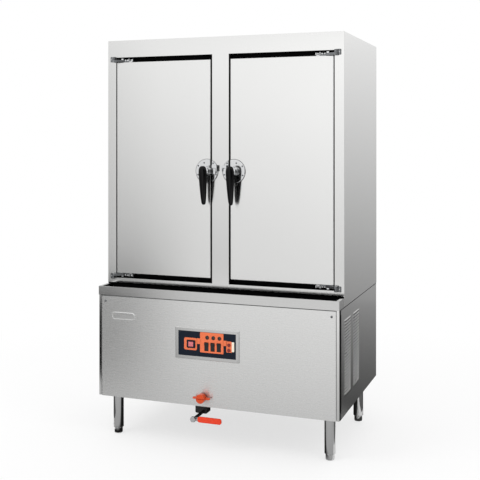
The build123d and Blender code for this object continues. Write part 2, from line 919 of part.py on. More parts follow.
def inlet_knob():
    """The butterfly knob: a round hub with two wings, a slot across its face, and its spindle."""
    face = base_y - knob_reach
    rear = face + knob_length
    hub = pin_y(knob_hub_radius, face, rear, supply_x, supply_height)
    hub = chamfer(hub.faces().sort_by(Axis.Y)[0].edges(), knob_slot_depth / 2)
    half_span = knob_wing_span / 2
    wing_y = rear - knob_wing_thickness
    wings = block(
        supply_x - half_span,
        supply_x + half_span,
        wing_y,
        rear,
        supply_height - knob_wing_height / 2,
        supply_height + knob_wing_height / 2,
    )
    wings = fillet(wings.edges().filter_by(Axis.Y), knob_wing_height / 2 - knob_slot_depth / 2)
    knob = hub + wings
    knob -= block(
        supply_x - knob_hub_radius,
        supply_x + knob_hub_radius,
        face - cut_margin,
        face + knob_slot_depth,
        supply_height - knob_slot_height / 2,
        supply_height + knob_slot_height / 2,
    )
    spindle_end = base_y + valve_stand_back + valve_body_length / 2 - knob_slot_depth
    return knob + pin_y(knob_spindle_radius, rear - knob_slot_depth, spindle_end, supply_x, supply_height)


def float_places():
    """The float pivot, just inside the tank's front wall."""
    pivot_y = tank_y + float_body_length - float_fork_wall - float_pivot_radius
    return pivot_y, feed_height


def float_valve():
    """The float valve inside the tank, ending in a fork that holds the arm's pin."""
    pivot_y, z = float_places()
    half = float_body_size / 2
    body = block(supply_x - half, supply_x + half, tank_y, tank_y + float_body_length, z - half, z + half)
    fork = float_arm_radius + float_fork_gap
    body -= block(
        supply_x - fork,
        supply_x + fork,
        pivot_y - half,
        tank_y + float_body_length + cut_margin,
        z - half - cut_margin,
        z + half + cut_margin,
    )
    hole = float_pivot_radius + float_pivot_clearance
    return body - pin_x(hole, supply_x - half - cut_margin, supply_x + half + cut_margin, pivot_y, z)


def float_arm():
    """The arm with its pin and its float, a drum with sloping ends, hanging as in an empty tank."""
    pivot_y, z = float_places()
    half = float_body_size / 2
    arm = pin_y(float_arm_radius, pivot_y, pivot_y + float_arm_length, supply_x, z)
    arm += pin_x(float_pivot_radius, supply_x - half, supply_x + half, pivot_y, z)
    half_length = float_length / 2
    drum_y = pivot_y + float_arm_length
    drum = pin_y(float_radius, drum_y - half_length, drum_y + half_length, supply_x, z)
    arm += chamfer(drum.edges(), float_end_slope)
    pivot = Pos(supply_x, pivot_y, z)
    return pivot * Rot(-float_rest_drop, 0, 0) * pivot.inverse() * arm


def drain_pipe():
    """The drain pipe from the middle of the tank's floor, forward and down to the drain valve."""
    tank_middle_y = (tank_y + tank_back_y) / 2
    level = drain_pipe_turn_height
    points = (
        (drain_x, tank_middle_y, tank_floor),
        (drain_x, tank_middle_y, level + drain_pipe_corner),
        (drain_x, tank_middle_y - drain_pipe_corner, level),
        (drain_x, drain_y + drain_pipe_corner, level),
        (drain_x, drain_y, level - drain_pipe_corner),
        (drain_x, drain_y, drain_body_top),
    )
    return tube_along(points, drain_pipe_radius) - tube_along(points, drain_pipe_radius - drain_pipe_wall)


def drain_valve_body():
    """The black drain valve under the base, open at the bottom, with its spindle's bore in front."""
    half = drain_body_width / 2
    deep = drain_body_depth / 2
    body = block(
        drain_x - half, drain_x + half, drain_y - deep, drain_y + deep, drain_body_underside, drain_body_top
    )
    body = fillet(body.edges().filter_by(Axis.Z), drain_body_round)
    body = chamfer(body.faces().sort_by(Axis.Z)[0].edges(), drain_body_round / 2)
    body -= pin_z(
        drain_bore_radius, drain_body_underside - cut_margin, drain_body_top + cut_margin, drain_x, drain_y
    )
    seat = drain_spindle_radius + drain_spindle_clearance
    front = drain_y - deep
    return body - pin_y(
        seat, front - cut_margin, front + drain_spindle_seat, drain_spindle_x, drain_spindle_height
    )


def drain_spindle():
    """The long black spindle that brings the drain lever out in front."""
    rear = drain_y - drain_body_depth / 2 + drain_spindle_seat - seat_gap
    return pin_y(drain_spindle_radius, drain_bar_y, rear, drain_spindle_x, drain_spindle_height)


def drain_nut():
    """The nut that clamps the lever on the spindle."""
    return hex_y(
        drain_nut_radius, drain_spindle_front, drain_bar_y, drain_spindle_x, drain_spindle_height
    )


def drain_lever_bar():
    """The flat steel lever, clamped behind the nut."""
    x = drain_spindle_x
    z = drain_spindle_height
    half = drain_bar_width / 2
    rear = drain_bar_y + drain_bar_thickness
    bar = block(x, x + drain_bar_length, drain_bar_y, rear, z - half, z + half)
    bar += pin_y(half, drain_bar_y, rear, x, z)
    return bar - pin_y(drain_spindle_radius, drain_bar_y - cut_margin, rear + cut_margin, x, z)


def drain_lever_sleeve():
    """The soft sleeve on the lever."""
    start = drain_spindle_x + drain_sleeve_start
    end = drain_spindle_x + drain_sleeve_reach
    half = drain_sleeve_width / 2
    middle_y = drain_bar_y + drain_bar_thickness / 2
    deep = drain_sleeve_thickness / 2
    z = drain_spindle_height
    sleeve = block(start, end, middle_y - deep, middle_y + deep, z - half, z + half)
    sleeve = fillet(sleeve.edges().filter_by(Axis.Y), half - drain_sleeve_round)
    sleeve = chamfer(sleeve.faces().sort_by(Axis.Y)[0].edges(), drain_sleeve_round / 2)
    return sleeve - drain_lever_bar()


# Control panel


def control_bezel():
    """The steel border round the fascia, with a sloping outer edge."""
    half_x = fascia_width / 2 + bezel_border
    half_z = fascia_height / 2 + bezel_border
    bezel = block(
        bezel_x - half_x, bezel_x + half_x, bezel_y, base_y, bezel_height - half_z, bezel_height + half_z
    )
    bezel = chamfer(bezel.faces().sort_by(Axis.Y)[0].edges(), bezel_slope)
    half_x = fascia_width / 2 + control_clearance
    half_z = fascia_height / 2 + control_clearance
    return bezel - block(
        bezel_x - half_x,
        bezel_x + half_x,
        bezel_y - cut_margin,
        base_y + cut_margin,
        bezel_height - half_z,
        bezel_height + half_z,
    )


def lamp_places():
    """The X places of the lamps."""
    return [fascia_left + lamp_x + index * lamp_pitch for index in range(lamp_count)]


def rocker_places():
    """The X places of the rocker switches."""
    return [fascia_left + rocker_x + index * rocker_pitch for index in range(rocker_count)]


def control_fascia():
    """The dark fascia with a raised surround for the power button and holes for every control."""
    x1 = fascia_left + fascia_width
    z0 = fascia_top - fascia_height
    plate = block(fascia_left, x1, fascia_y, fascia_back_y, z0, fascia_top)
    power = fascia_left + power_x
    power_z = fascia_top - power_drop
    plate += block(
        power - power_surround_width / 2,
        power + power_surround_width / 2,
        fascia_y - power_surround_rise,
        fascia_y,
        power_z - power_surround_height / 2,
        power_z + power_surround_height / 2,
    )
    front = fascia_y - cut_margin
    rear = fascia_back_y + cut_margin
    half_x = power_button_width / 2 + control_clearance
    half_z = power_button_height / 2 + control_clearance
    plate -= block(power - half_x, power + half_x, front, rear, power_z - half_z, power_z + half_z)
    rocker_z = fascia_top - rocker_drop
    half_x = rocker_width / 2 + control_clearance
    half_z = rocker_radius + control_clearance
    for x in rocker_places():
        plate -= block(x - half_x, x + half_x, front, rear, rocker_z - half_z, rocker_z + half_z)
    hole = push_radius + control_clearance
    for drop in push_drops:
        plate -= pin_y(hole, front, rear, fascia_left + push_x, fascia_top - drop)
    return plate


def indicator_lamp(x):
    """One lamp lens, standing out of the fascia."""
    return pin_y(lamp_radius, fascia_y - lamp_reach, fascia_y, x, fascia_top - lamp_drop)


def power_button():
    """The square button in its surround, with a wider foot that the fascia holds back."""
    x = fascia_left + power_x
    z = fascia_top - power_drop
    half_x = power_button_width / 2
    half_z = power_button_height / 2
    top = fascia_y - power_surround_rise - power_button_rise
    stem_end = fascia_back_y + button_travel + seat_gap
    button = block(x - half_x, x + half_x, top, stem_end, z - half_z, z + half_z)
    foot_x = power_surround_width / 2
    foot_z = power_surround_height / 2
    foot_y = fascia_back_y + seat_gap
    return button + block(x - foot_x, x + foot_x, foot_y, foot_y + button_travel, z - foot_z, z + foot_z)


def push_button(drop):
    """A small round button with a wider foot that the fascia holds back."""
    x = fascia_left + push_x
    z = fascia_top - drop
    foot_y = fascia_back_y + seat_gap
    button = pin_y(push_radius, fascia_y - push_rise, foot_y + button_travel, x, z)
    return button + pin_y(push_radius + button_travel, foot_y, foot_y + button_travel, x, z)


def rocker(x):
    """A rocker: a slice of a cylinder about its pivot, with a shallow valley in its face."""
    z = fascia_top - rocker_drop
    pivot_y = fascia_y + rocker_pivot_depth
    valley = -(rocker_pivot_depth + rocker_rise)
    ends = -(rocker_pivot_depth + rocker_end_rise)
    profile = Plane.YZ * make_face(
        Polyline(
            (rocker_back, -rocker_radius),
            (ends, -rocker_radius),
            (valley, 0),
            (ends, rocker_radius),
            (rocker_back, rocker_radius),
            close=True,
        )
    )
    slab = extrude(profile, amount=rocker_width / 2, both=True)
    disc = Rot(0, 90, 0) * Cylinder(rocker_radius, rocker_width)
    return Pos(x, pivot_y, z) * Rot(rocker_tilt, 0, 0) * (slab & disc)


def control_box():
    """The electrical box behind the fascia, open to the front."""
    half_x = fascia_width / 2 + control_box_border
    half_z = fascia_height / 2 + control_box_border
    y0 = base_y + sheet
    y1 = y0 + control_box_depth
    box = block(bezel_x - half_x, bezel_x + half_x, y0, y1, bezel_height - half_z, bezel_height + half_z)
    return box - block(
        bezel_x - half_x + sheet,
        bezel_x + half_x - sheet,
        y0 - cut_margin,
        y1 - sheet,
        bezel_height - half_z + sheet,
        bezel_height + half_z - sheet,
    )


def cable_gland():
    """The gland for the supply cable, through the lower back panel."""
    y0 = back_y - sheet - gland_nut_length
    y1 = back_y + gland_reach
    gland = pin_y(gland_radius, y0, y1, gland_x, gland_height)
    gland += hex_y(gland_nut_radius, back_y, back_y + gland_nut_length, gland_x, gland_height)
    gland += hex_y(gland_nut_radius, y0, back_y - sheet, gland_x, gland_height)
    return gland - pin_y(gland_bore_radius, y0 - cut_margin, y1 + cut_margin, gland_x, gland_height)


# Doors, made for the right side and mirrored


def door_skin():
    """The outer pan of the right door, with rounded face edges."""
    skin = block(door_inner, door_outer, frame_y, door_back_y, door_bottom, door_top)
    skin = fillet(skin.faces().sort_by(Axis.Y)[0].edges(), door_edge_radius)
    return skin - block(
        door_inner + sheet,
        door_outer - sheet,
        frame_y + sheet,
        door_back_y + cut_margin,
        door_bottom + sheet,
        door_top - sheet,
    )


def door_field(shrink):
    """The raised field on the right door's inner pan, as a solid that is smaller by the value given."""
    wide_x = door_outer - door_inner - 2 * (door_field_inset + shrink)
    wide_z = door_top - door_bottom - 2 * (door_field_inset + shrink)
    middle = Pos((door_inner + door_outer) / 2, (door_bottom + door_top) / 2)
    foot_plane = Plane.XZ.offset(sheet - door_back_y)
    top_plane = Plane.XZ.offset(shrink - door_back_y - door_field_height)
    foot = (foot_plane * middle * Rectangle(wide_x, wide_z)).face()
    top = (top_plane * middle * Rectangle(wide_x - door_field_slope, wide_z - door_field_slope)).face()
    return loft([foot, top])


def door_pan():
    """The inner pan that closes the right door, with its raised field."""
    pan = block(
        door_inner + sheet,
        door_outer - sheet,
        door_back_y - sheet,
        door_back_y,
        door_bottom + sheet,
        door_top - sheet,
    )
    return pan + door_field(0) - door_field(sheet)


def door_core():
    """The insulation inside the right door, which fills the raised field too."""
    core = block(
        door_inner + sheet,
        door_outer - sheet,
        frame_y + sheet,
        door_back_y - sheet,
        door_bottom + sheet,
        door_top - sheet,
    )
    return core + door_field(sheet)


def at_top_and_bottom(make, *values):
    """A hinge piece made for the top of the door, and its mirror image for the bottom."""
    top_piece = make(*values)
    middle = (door_top + door_bottom) / 2
    return top_piece, mirror(top_piece, about=Plane.XY.offset(middle))


def hinge_bracket():
    """The right top bracket: a plate on the stile, a lug over the arm's eye, and the fixed pin."""
    arm_bottom = door_top + seat_gap
    arm_top = arm_bottom + hinge_arm_height
    plate_top = opening_top + hinge_plate_lap
    plate_x1 = half_width - hinge_plate_inset
    plate = block(
        plate_x1 - hinge_plate_width,
        plate_x1,
        frame_y - hinge_plate_thickness,
        frame_y,
        plate_top - hinge_plate_height,
        plate_top,
    )
    lug_bottom = arm_top + seat_gap
    lug = pin_z(hinge_eye_radius, lug_bottom, plate_top, hinge_x, hinge_y)
    lug += block(
        hinge_x - hinge_eye_radius,
        hinge_x + hinge_eye_radius,
        hinge_y,
        frame_y - hinge_plate_thickness / 2,
        lug_bottom,
        plate_top,
    )
    pin = pin_z(hinge_pin_radius, arm_bottom, lug_bottom + hinge_pin_radius, hinge_x, hinge_y)
    return plate + lug + pin


def hinge_arm():
    """The right top arm: an eye on the pin, a cast arm, and a thin foot screwed to the door's edge."""
    bottom = door_top
    top = bottom + seat_gap + hinge_arm_height
    back = frame_y + hinge_arm_back
    root_x = hinge_x - hinge_arm_root
    eye = pin_z(hinge_eye_radius, bottom, top, hinge_x, hinge_y)
    outline = Polyline(
        (hinge_x, hinge_y - hinge_eye_radius),
        (hinge_x - hinge_eye_radius, hinge_y - hinge_eye_radius),
        (root_x, frame_y),
        (root_x, back),
        (door_outer, back),
        (door_outer, frame_y),
        (hinge_x, hinge_y + hinge_eye_radius - hinge_plate_thickness),
        close=True,
    )
    arm = eye + extrude(Plane.XY.offset(bottom) * make_face(outline), amount=top - bottom)
    foot_x = hinge_x - hinge_arm_length
    foot_y = frame_y + hinge_foot_front
    foot = block(foot_x, root_x + sheet, foot_y, back, bottom, bottom + hinge_foot_height)
    hole = hinge_pin_radius + hinge_pin_clearance
    return (arm + foot) - pin_z(hole, bottom - cut_margin, top + cut_margin, hinge_x, hinge_y)


def rose_half(inner_side):
    """One half of the split round plate under the right latch, cut where the door meets the mullion."""
    rear = frame_y
    disc = pin_y(rose_radius, rear - rose_thickness, rear, latch_x, latch_height)
    disc = chamfer(disc.faces().sort_by(Axis.Y)[0].edges(), rose_bevel)
    far = rose_radius + cut_margin
    if inner_side:
        limit = opening_inner - rose_split
        cutter = block(limit, latch_x + far, rear - far, rear + far, latch_height - far, latch_height + far)
    else:
        limit = door_inner + rose_split
        cutter = block(latch_x - far, limit, rear - far, rear + far, latch_height - far, latch_height + far)
    return disc - cutter


def latch_plate():
    """The door's half of the rose, with the stud that the cam turns on."""
    stud_front = hub_face_y + sheet + seat_gap
    return rose_half(False) + pin_y(latch_stud_radius, stud_front, frame_y, latch_x, latch_height)


def leaning(shape):
    """The right grip or its bar, turned about the hub so that its tip lies nearer the door."""
    hub = Pos(latch_x, grip_back_y, latch_height)
    return hub * Rot(grip_lean, 0, 0) * hub.inverse() * shape


def lever_bar():
    """The flat bar inside the right grip."""
    half = lever_bar_width / 2
    bar = block(
        latch_x - half,
        latch_x + half,
        hub_face_y,
        hub_face_y + lever_bar_thickness,
        latch_height - lever_bar_length,
        latch_height,
    )
    return leaning(bar)


def boss_gap():
    """Room behind the grip's head for its lean, up to the edge of the boss."""
    return seat_gap + latch_boss_radius * sin(radians(grip_lean))


def latch_cam():
    """The turning core: disc, boss, hub, cam tongue towards the mullion, and the grip's bar."""
    rear = frame_y - cam_lift
    disc = pin_y(cam_disc_radius, cam_face_y, rear, latch_x, latch_height)
    collar_y = frame_y - rose_thickness - seat_gap
    hub = pin_y(latch_hub_radius, hub_face_y, collar_y, latch_x, latch_height)
    boss_y = grip_back_y + boss_gap()
    boss = pin_y(latch_boss_radius, boss_y, cam_face_y, latch_x, latch_height)
    boss = chamfer(boss.faces().sort_by(Axis.Y)[0].edges(), latch_boss_slope)
    tongue = block(
        latch_x - cam_reach,
        latch_x,
        cam_face_y,
        rear,
        latch_height - cam_half_height,
        latch_height + cam_half_height,
    )
    tongue = fillet(tongue.faces().sort_by(Axis.X)[0].edges().filter_by(Axis.Y), cam_half_height / 2)
    cam = disc + boss + hub + tongue + lever_bar()
    hole = latch_stud_radius + latch_stud_clearance
    return cam - pin_y(hole, hub_face_y + sheet, frame_y, latch_x, latch_height)


def latch_grip():
    """The moulded grip round the hub and the bar: a round head, tapering to its tip."""
    tip_z = latch_height - grip_reach
    lean = (grip_head_radius - grip_tip_radius) / grip_reach
    side = sqrt(1 - lean * lean)
    head = (latch_x + grip_head_radius * side, latch_height - grip_head_radius * lean)
    tip = (latch_x + grip_tip_radius * side, tip_z - grip_tip_radius * lean)
    outline = (
        Line(head, tip)
        + ThreePointArc(tip, (latch_x, tip_z - grip_tip_radius), (2 * latch_x - tip[0], tip[1]))
        + Line((2 * latch_x - tip[0], tip[1]), (2 * latch_x - head[0], head[1]))
        + ThreePointArc((2 * latch_x - head[0], head[1]), (latch_x, latch_height + grip_head_radius), head)
    )
    section = Plane.XZ.offset(-grip_back_y) * make_face(outline)
    grip = extrude(section, amount=grip_head_thickness)
    slope = (grip_head_thickness - grip_tip_thickness) / grip_reach
    side_view = Plane.YZ.offset(latch_x) * make_face(
        Polyline(
            (grip_back_y - grip_head_thickness, latch_height),
            (grip_back_y - grip_tip_thickness, tip_z),
            (grip_back_y - grip_tip_thickness + slope * grip_head_radius, tip_z - grip_head_radius),
            (grip_back_y - grip_head_thickness - cut_margin, tip_z - grip_head_radius),
            (grip_back_y - grip_head_thickness - cut_margin, latch_height),
            close=True,
        )
    )
    grip -= extrude(side_view, amount=grip_head_radius + cut_margin, both=True)
    grip = leaning(chamfer(grip.faces().sort_by(Axis.Y)[0].edges(), grip_edge))
    hub = pin_y(latch_hub_radius, hub_face_y, grip_back_y + cut_margin, latch_x, latch_height)
    return grip - hub - lever_bar()


def latch_keeper():
    """The mullion's half of the right rose, with a post and a lip that the cam turns up behind."""
    lip_rear = cam_face_y - keeper_lip_gap
    lip_front = lip_rear - keeper_lip_thickness
    swing = sqrt(cam_reach**2 + cam_half_height**2)
    post_x = latch_x - swing - keeper_post_clearance
    z0 = latch_height + cam_half_height + keeper_clear_height
    z1 = z0 + keeper_lip_height
    plate = rose_half(True)
    post_rear = frame_y - rose_thickness / 2
    post = block(post_x - keeper_post_width, post_x, lip_front, post_rear, latch_height, z1)
    lip = block(post_x, post_x + keeper_lip_length, lip_front, lip_rear, z0, z1)
    return plate + post + lip


def build():
    os.makedirs("parts", exist_ok=True)

    feet = {
        "front_left": (-leg_x, leg_front_y),
        "front_right": (leg_x, leg_front_y),
        "rear_left": (-leg_x, leg_rear_y),
        "rear_right": (leg_x, leg_rear_y),
    }
    save("leg_tubes", *[leg(x, y) for x, y in feet.values()])
    for place, (x, y) in feet.items():
        save(f"foot_{place}", foot(x, y))

    save("base_frame", base_frame())
    save("base_bottom_plate", base_bottom_plate())
    save("base_front_panel", base_front_panel())
    side_panel = louvre_panel()
    post = front_post()
    save("base_right_panel", side_panel, post)
    save("base_left_panel", mirrored(side_panel), mirrored(post))
    save("back_panels", *back_panels())
    save("drip_ledge", drip_ledge())

    save("outer_wrap", outer_wrap())
    save("front_frame", front_frame())
    save("rubber_seals", *rubber_seals())
    save("chamber_liner", *chamber_liner())
    save("insulation", *insulation())
    ladders = shelf_ladders()
    save("shelf_ladders", *ladders, *[mirrored(piece) for piece in ladders])
    shelves = [shelf(level) for level in range(shelf_levels)]
    save("shelves", *shelves, *[mirrored(piece) for piece in shelves])
    save("steam_grate", steam_grate())

    save("water_tank", *water_tank())
    save("heating_elements", *[piece for x in heater_places() for piece in heating_element(x)])
    save("float_valve", float_valve())
    save("float_arm", float_arm())
    save("water_pipes", supply_pipe(), feed_pipe())
    save("inlet_valve_body", inlet_valve_body())
    save("inlet_knob", inlet_knob())
    save("drain_pipe", drain_pipe())
    save("drain_valve_body", drain_valve_body())
    save("drain_spindle", drain_spindle())
    save("drain_nut", drain_nut())
    save("drain_lever_bar", drain_lever_bar())
    save("drain_lever_sleeve", drain_lever_sleeve())

    save("control_bezel", control_bezel())
    save("control_fascia", control_fascia())
    save("indicator_lamps", *[indicator_lamp(x) for x in lamp_places()])
    save("power_button", power_button())
    for number, x in enumerate(rocker_places(), start=1):
        save(f"rocker_{number}", rocker(x))
    save("start_button", push_button(push_drops[0]))
    save("stop_button", push_button(push_drops[1]))
    save("control_box", control_box())
    save("cable_gland", cable_gland())

    brackets = at_top_and_bottom(hinge_bracket)
    save("hinge_brackets", *brackets, *[mirrored(piece) for piece in brackets])
    keeper = latch_keeper()
    save("latch_keepers", keeper, mirrored(keeper))
    right_door = {
        "door_skin": [door_skin()],
        "door_pan": [door_pan()],
        "door_core": [door_core()],
        "hinge_arms": at_top_and_bottom(hinge_arm),
        "latch_plate": [latch_plate()],
        "latch_cam": [latch_cam()],
        "latch_grip": [latch_grip()],
    }
    for name, shapes in right_door.items():
        save(f"right_{name}", *shapes)
        save(f"left_{name}", *[mirrored(piece) for piece in shapes])


build()
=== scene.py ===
"""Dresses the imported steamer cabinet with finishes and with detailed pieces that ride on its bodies."""

import json
import math

import bmesh
import bpy
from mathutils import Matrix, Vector

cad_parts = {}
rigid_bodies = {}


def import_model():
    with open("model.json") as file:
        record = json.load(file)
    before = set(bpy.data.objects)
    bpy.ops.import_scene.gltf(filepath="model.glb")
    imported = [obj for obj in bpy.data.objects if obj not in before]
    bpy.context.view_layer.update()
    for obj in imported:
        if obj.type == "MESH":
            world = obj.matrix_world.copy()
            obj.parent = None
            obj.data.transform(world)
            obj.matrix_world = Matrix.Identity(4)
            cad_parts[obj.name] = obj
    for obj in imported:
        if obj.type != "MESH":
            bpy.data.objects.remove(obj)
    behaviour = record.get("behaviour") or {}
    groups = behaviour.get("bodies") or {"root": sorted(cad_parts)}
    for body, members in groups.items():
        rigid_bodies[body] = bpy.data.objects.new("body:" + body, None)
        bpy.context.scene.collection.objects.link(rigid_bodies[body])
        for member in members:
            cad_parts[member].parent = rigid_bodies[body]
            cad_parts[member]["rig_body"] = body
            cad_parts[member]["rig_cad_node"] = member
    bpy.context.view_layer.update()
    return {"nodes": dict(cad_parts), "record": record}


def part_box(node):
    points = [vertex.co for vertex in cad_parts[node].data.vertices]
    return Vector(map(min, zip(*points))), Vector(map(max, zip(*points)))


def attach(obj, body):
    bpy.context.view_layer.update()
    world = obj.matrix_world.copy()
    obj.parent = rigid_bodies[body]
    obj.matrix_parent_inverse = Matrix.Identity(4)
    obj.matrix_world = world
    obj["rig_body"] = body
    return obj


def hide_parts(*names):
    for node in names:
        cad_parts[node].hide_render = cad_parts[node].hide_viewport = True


bl_info = {
    "name": "Steamer Cabinet",
    "version": (1, 0, 0),
    "blender": (4, 5, 0),
    "location": "View3D > Sidebar > Cabinet",
    "description": "Models and finishes the visible pieces of a two-door steamer cabinet",
    "category": "Add Mesh",
}

MM = 0.001
SAME_PLACE = 0.01 * MM
SIDES = {"right": 1, "left": -1}
# The turns that point a form's axis to the front and to the back
TOWARDS_FRONT = (math.radians(90), 0, 0)
TOWARDS_BACK = (math.radians(-90), 0, 0)

# How far a side panel starts behind the base's front, and how far its top lies below the base's
SIDE_PANEL_START = 36.0 * MM
SIDE_PANEL_DROP = 4.0 * MM

# A pan-head screw with a driver recess: each ring's height and radius, as shares of the head's radius
PAN_HEAD = ((0.25, 1.0), (0.5, 0.86), (0.62, 0.55), (0.64, 0.3), (0.3, 0.22))

# A cheese-head screw: the height of each ring in millimetres, and its share of the head's radius
CHEESE_HEAD = (
    (-0.3, 0.5), (1.8, 0.5), (1.9, 0.94), (2.4, 1.0), (7.2, 1.0), (8.2, 0.84), (8.3, 0.3), (7.0, 0.26),
)

# The finish that each slot of the CAD has, unless a piece is given another one
SLOT_FINISHES = {
    "stainless_sheet": "brushed_stainless_upright",
    "inner_sheet": "mill_stainless",
    "bright_tube": "polished_tube",
    "cast_fitting": "chromed_casting",
    "frame_steel": "galvanised_steel",
    "black_rubber": "extruded_rubber",
    "black_grip": "phenolic_gloss",
    "black_moulding": "moulded_nylon",
    "fascia_dark": "printed_film",
    "lamp_dark": "tinted_acrylic",
    "power_red": "translucent_red",
    "button_red": "red_abs",
    "knob_orange": "orange_abs",
    "sleeve_orange": "dipped_vinyl",
    "brass_valve": "forged_brass",
    "wool": "mineral_wool",
}

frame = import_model()


# Places taken from the frame


def box_of(node):
    """The lowest and the highest corner of a CAD node, in metres."""
    low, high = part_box(node)
    return Vector(low), Vector(high)


def latch_centre(side):
    """The middle of a latch's hub, at the rear of its grip."""
    joints = {joint["name"]: joint for joint in frame["record"]["behaviour"]["joints"]}
    pivot = Vector(joints[f"{side}_latch_turn"]["pos_m"])
    return pivot - Vector((0, sizes().grip_stand, 0))


def frame_front():
    """The front face of the door frame."""
    return box_of("front_frame")[0].y


def base_places():
    """The right side's face, the front face, and the lowest and highest corner of the base."""
    return (box_of("base_bottom_plate")[1].x, box_of("base_front_panel")[0].y, *box_of("base_frame"))


# Settings that a user would change


def linear(hex_colour):
    """An sRGB hex colour as linear red, green, blue."""
    channels = [int(hex_colour[start : start + 2], 16) / 255 for start in (1, 3, 5)]
    return [c / 12.92 if c <= 0.04045 else ((c + 0.055) / 1.055) ** 2.4 for c in channels]


def length(name, description, millimetres):
    """A length that shows in the panel."""
    return bpy.props.FloatProperty(
        name=name, description=description, default=millimetres * MM, min=0.0, unit="LENGTH", precision=4
    )


def tint(name, description, hex_colour):
    """A colour that shows in the panel."""
    return bpy.props.FloatVectorProperty(
        name=name, description=description, default=linear(hex_colour), subtype="COLOR", min=0.0, max=1.0
    )


class CabinetSizes(bpy.types.PropertyGroup):
    """Lengths of the small forms that the CAD solids leave to this file."""

    sheet: length("Sheet", "Thickness of the folded sheets", 1.5)
    door_edge: length("Door edge", "Radius of the folded edges of a door", 3.0)
    fold_edge: length("Folded edge", "Radius of the outer folds of the cabinet", 2.2)
    sheet_edge: length("Sheet edge", "Rounding of deburred sheet edges", 0.45)
    cast_edge: length("Cast edge", "Rounding of die-cast edges", 0.9)
    moulded_edge: length("Moulded edge", "Rounding of moulded plastic edges", 0.8)
    seal_edge: length("Seal edge", "Rounding of the rubber seals", 2.5)
    grip_stand: length("Grip stand", "From the latch's pivot to the rear of its grip", 30.0)
    screw: length("Screw", "Radius of a panel screw's head", 5.5)
    small_screw: length("Small screw", "Radius of a screw in a latch or hinge", 3.4)
    hinge_screw: length("Hinge screw", "Radius of the cheese-head screws in a hinge", 5.8)
    # The rubber shows as a dark ring round the rose: partly a real gasket, partly painted shade at the
    # rose's edge
    rose: length("Rose gasket", "Radius of the rubber under a latch's rose", 58.4)
    print_rise: length("Print", "Thickness of the overlay's coloured blocks", 0.3)
    badge_width: length("Badge width", "Width of the bare badge plate", 128.0)
    badge_height: length("Badge height", "Height of the bare badge plate", 38.0)


class CabinetColours(bpy.types.PropertyGroup):
    """Colours of the finishes."""

    steel: tint("Steel", "Brushed stainless sheet", "#E6E6E5")
    ledge_steel: tint("Ledge steel", "Duller sheet of the drip ledge and the bezel", "#D7D7D6")
    door_steel: tint("Door steel", "Paler sheet of the doors and the service panel", "#EDEDEC")
    liner: tint("Liner", "Mill-finish stainless inside the chamber", "#C9CACA")
    tube: tint("Tube", "Polished stainless tube", "#DADADA")
    cast: tint("Cast", "Chromed die-cast fittings", "#E3E4E5")
    hinge: tint("Hinge", "Nickel-plated hinge castings", "#8E9092")
    screw: tint("Screw", "Blackened screws", "#232426")
    frame_steel: tint("Frame", "Galvanised steel of the hidden frame", "#A6A9AA")
    rubber: tint("Rubber", "Black door seals", "#080809")
    grip: tint("Grip", "Glossy black grips", "#060607")
    nylon: tint("Nylon", "Black moulded fittings", "#17181A")
    fascia: tint("Fascia", "Dark blue control overlay", "#0F1A29")
    orange: tint("Orange", "Orange blocks on the overlay", "#EC7140")
    cream: tint("Cream", "Cream bar on the overlay", "#F2E8D5")
    lamp: tint("Lamp", "Unlit lamp lens", "#2A1613")
    power: tint("Power", "Square power button", "#D9747B")
    push: tint("Push", "Small round buttons", "#7E1F1D")
    knob: tint("Knob", "Water inlet knob", "#D9480B")
    sleeve: tint("Sleeve", "Dipped sleeve of the drain lever", "#EE3D12")
    wool: tint("Wool", "Mineral wool", "#B59B5E")
    brass: tint("Brass", "Brass valve bodies", "#C9A35A")


def sizes():
    """The scene's lengths."""
    return bpy.context.scene.cabinet_sizes


def colours():
    """The scene's colours."""
    return bpy.context.scene.cabinet_colours


# Modelling by operators


def work_on(piece):
    """Leaves edit mode and makes one piece the only selected one."""
    if bpy.context.object and bpy.context.object.mode != "OBJECT":
        leave_edit()
    bpy.ops.object.select_all(action="DESELECT")
    if piece:
        piece.select_set(True)
        bpy.context.view_layer.objects.active = piece


def edit_all(piece):
    """Enters edit mode with the whole piece selected."""
    work_on(piece)
    bpy.ops.object.mode_set(mode="EDIT")
    bpy.ops.mesh.select_all(action="SELECT")


def leave_edit():
    """Back to object mode."""
    bpy.ops.object.mode_set(mode="OBJECT")


def start(operator, name, **settings):
    """Adds a primitive with nothing else selected."""
    work_on(None)
    scale = settings.pop("scale", (1.0, 1.0, 1.0))
    operator(**settings)
    piece = bpy.context.object
    piece.scale = scale
    piece.name = name
    piece.data.name = name
    return piece


def settle(piece):
    """Moves a piece's place, turn and scale into its mesh."""
    work_on(piece)
    bpy.ops.object.transform_apply(location=True, rotation=True, scale=True)
    return piece


def start_block(name, corner, other):
    """A block between two opposite corners, as the start of a piece."""
    low = Vector([min(pair) for pair in zip(corner, other)])
    high = Vector([max(pair) for pair in zip(corner, other)])
    middle = (low + high) / 2
    return settle(start(bpy.ops.mesh.primitive_cube_add, name, size=1.0, location=middle, scale=high - low))


def pick(piece, kind, test):
    """Enters edit mode with only the faces, edges or vertices selected that pass the test."""
    work_on(piece)
    bpy.ops.object.mode_set(mode="EDIT")
    bpy.ops.mesh.select_mode(type=kind)
    bpy.ops.mesh.select_all(action="DESELECT")
    mesh = bmesh.from_edit_mesh(piece.data)
    if kind == "FACE":
        for face in mesh.faces:
            face.select_set(test(face.calc_center_median(), face.normal))
    elif kind == "EDGE":
        for edge in mesh.edges:
            edge.select_set(test(edge.verts[0].co, edge.verts[1].co))
    else:
        for vertex in mesh.verts:
            vertex.select_set(test(vertex.co))
    bmesh.update_edit_mesh(piece.data)


def remove_faces(piece, test):
    """Removes the faces that pass the test."""
    pick(piece, "FACE", test)
    bpy.ops.mesh.delete(type="FACE")
    leave_edit()


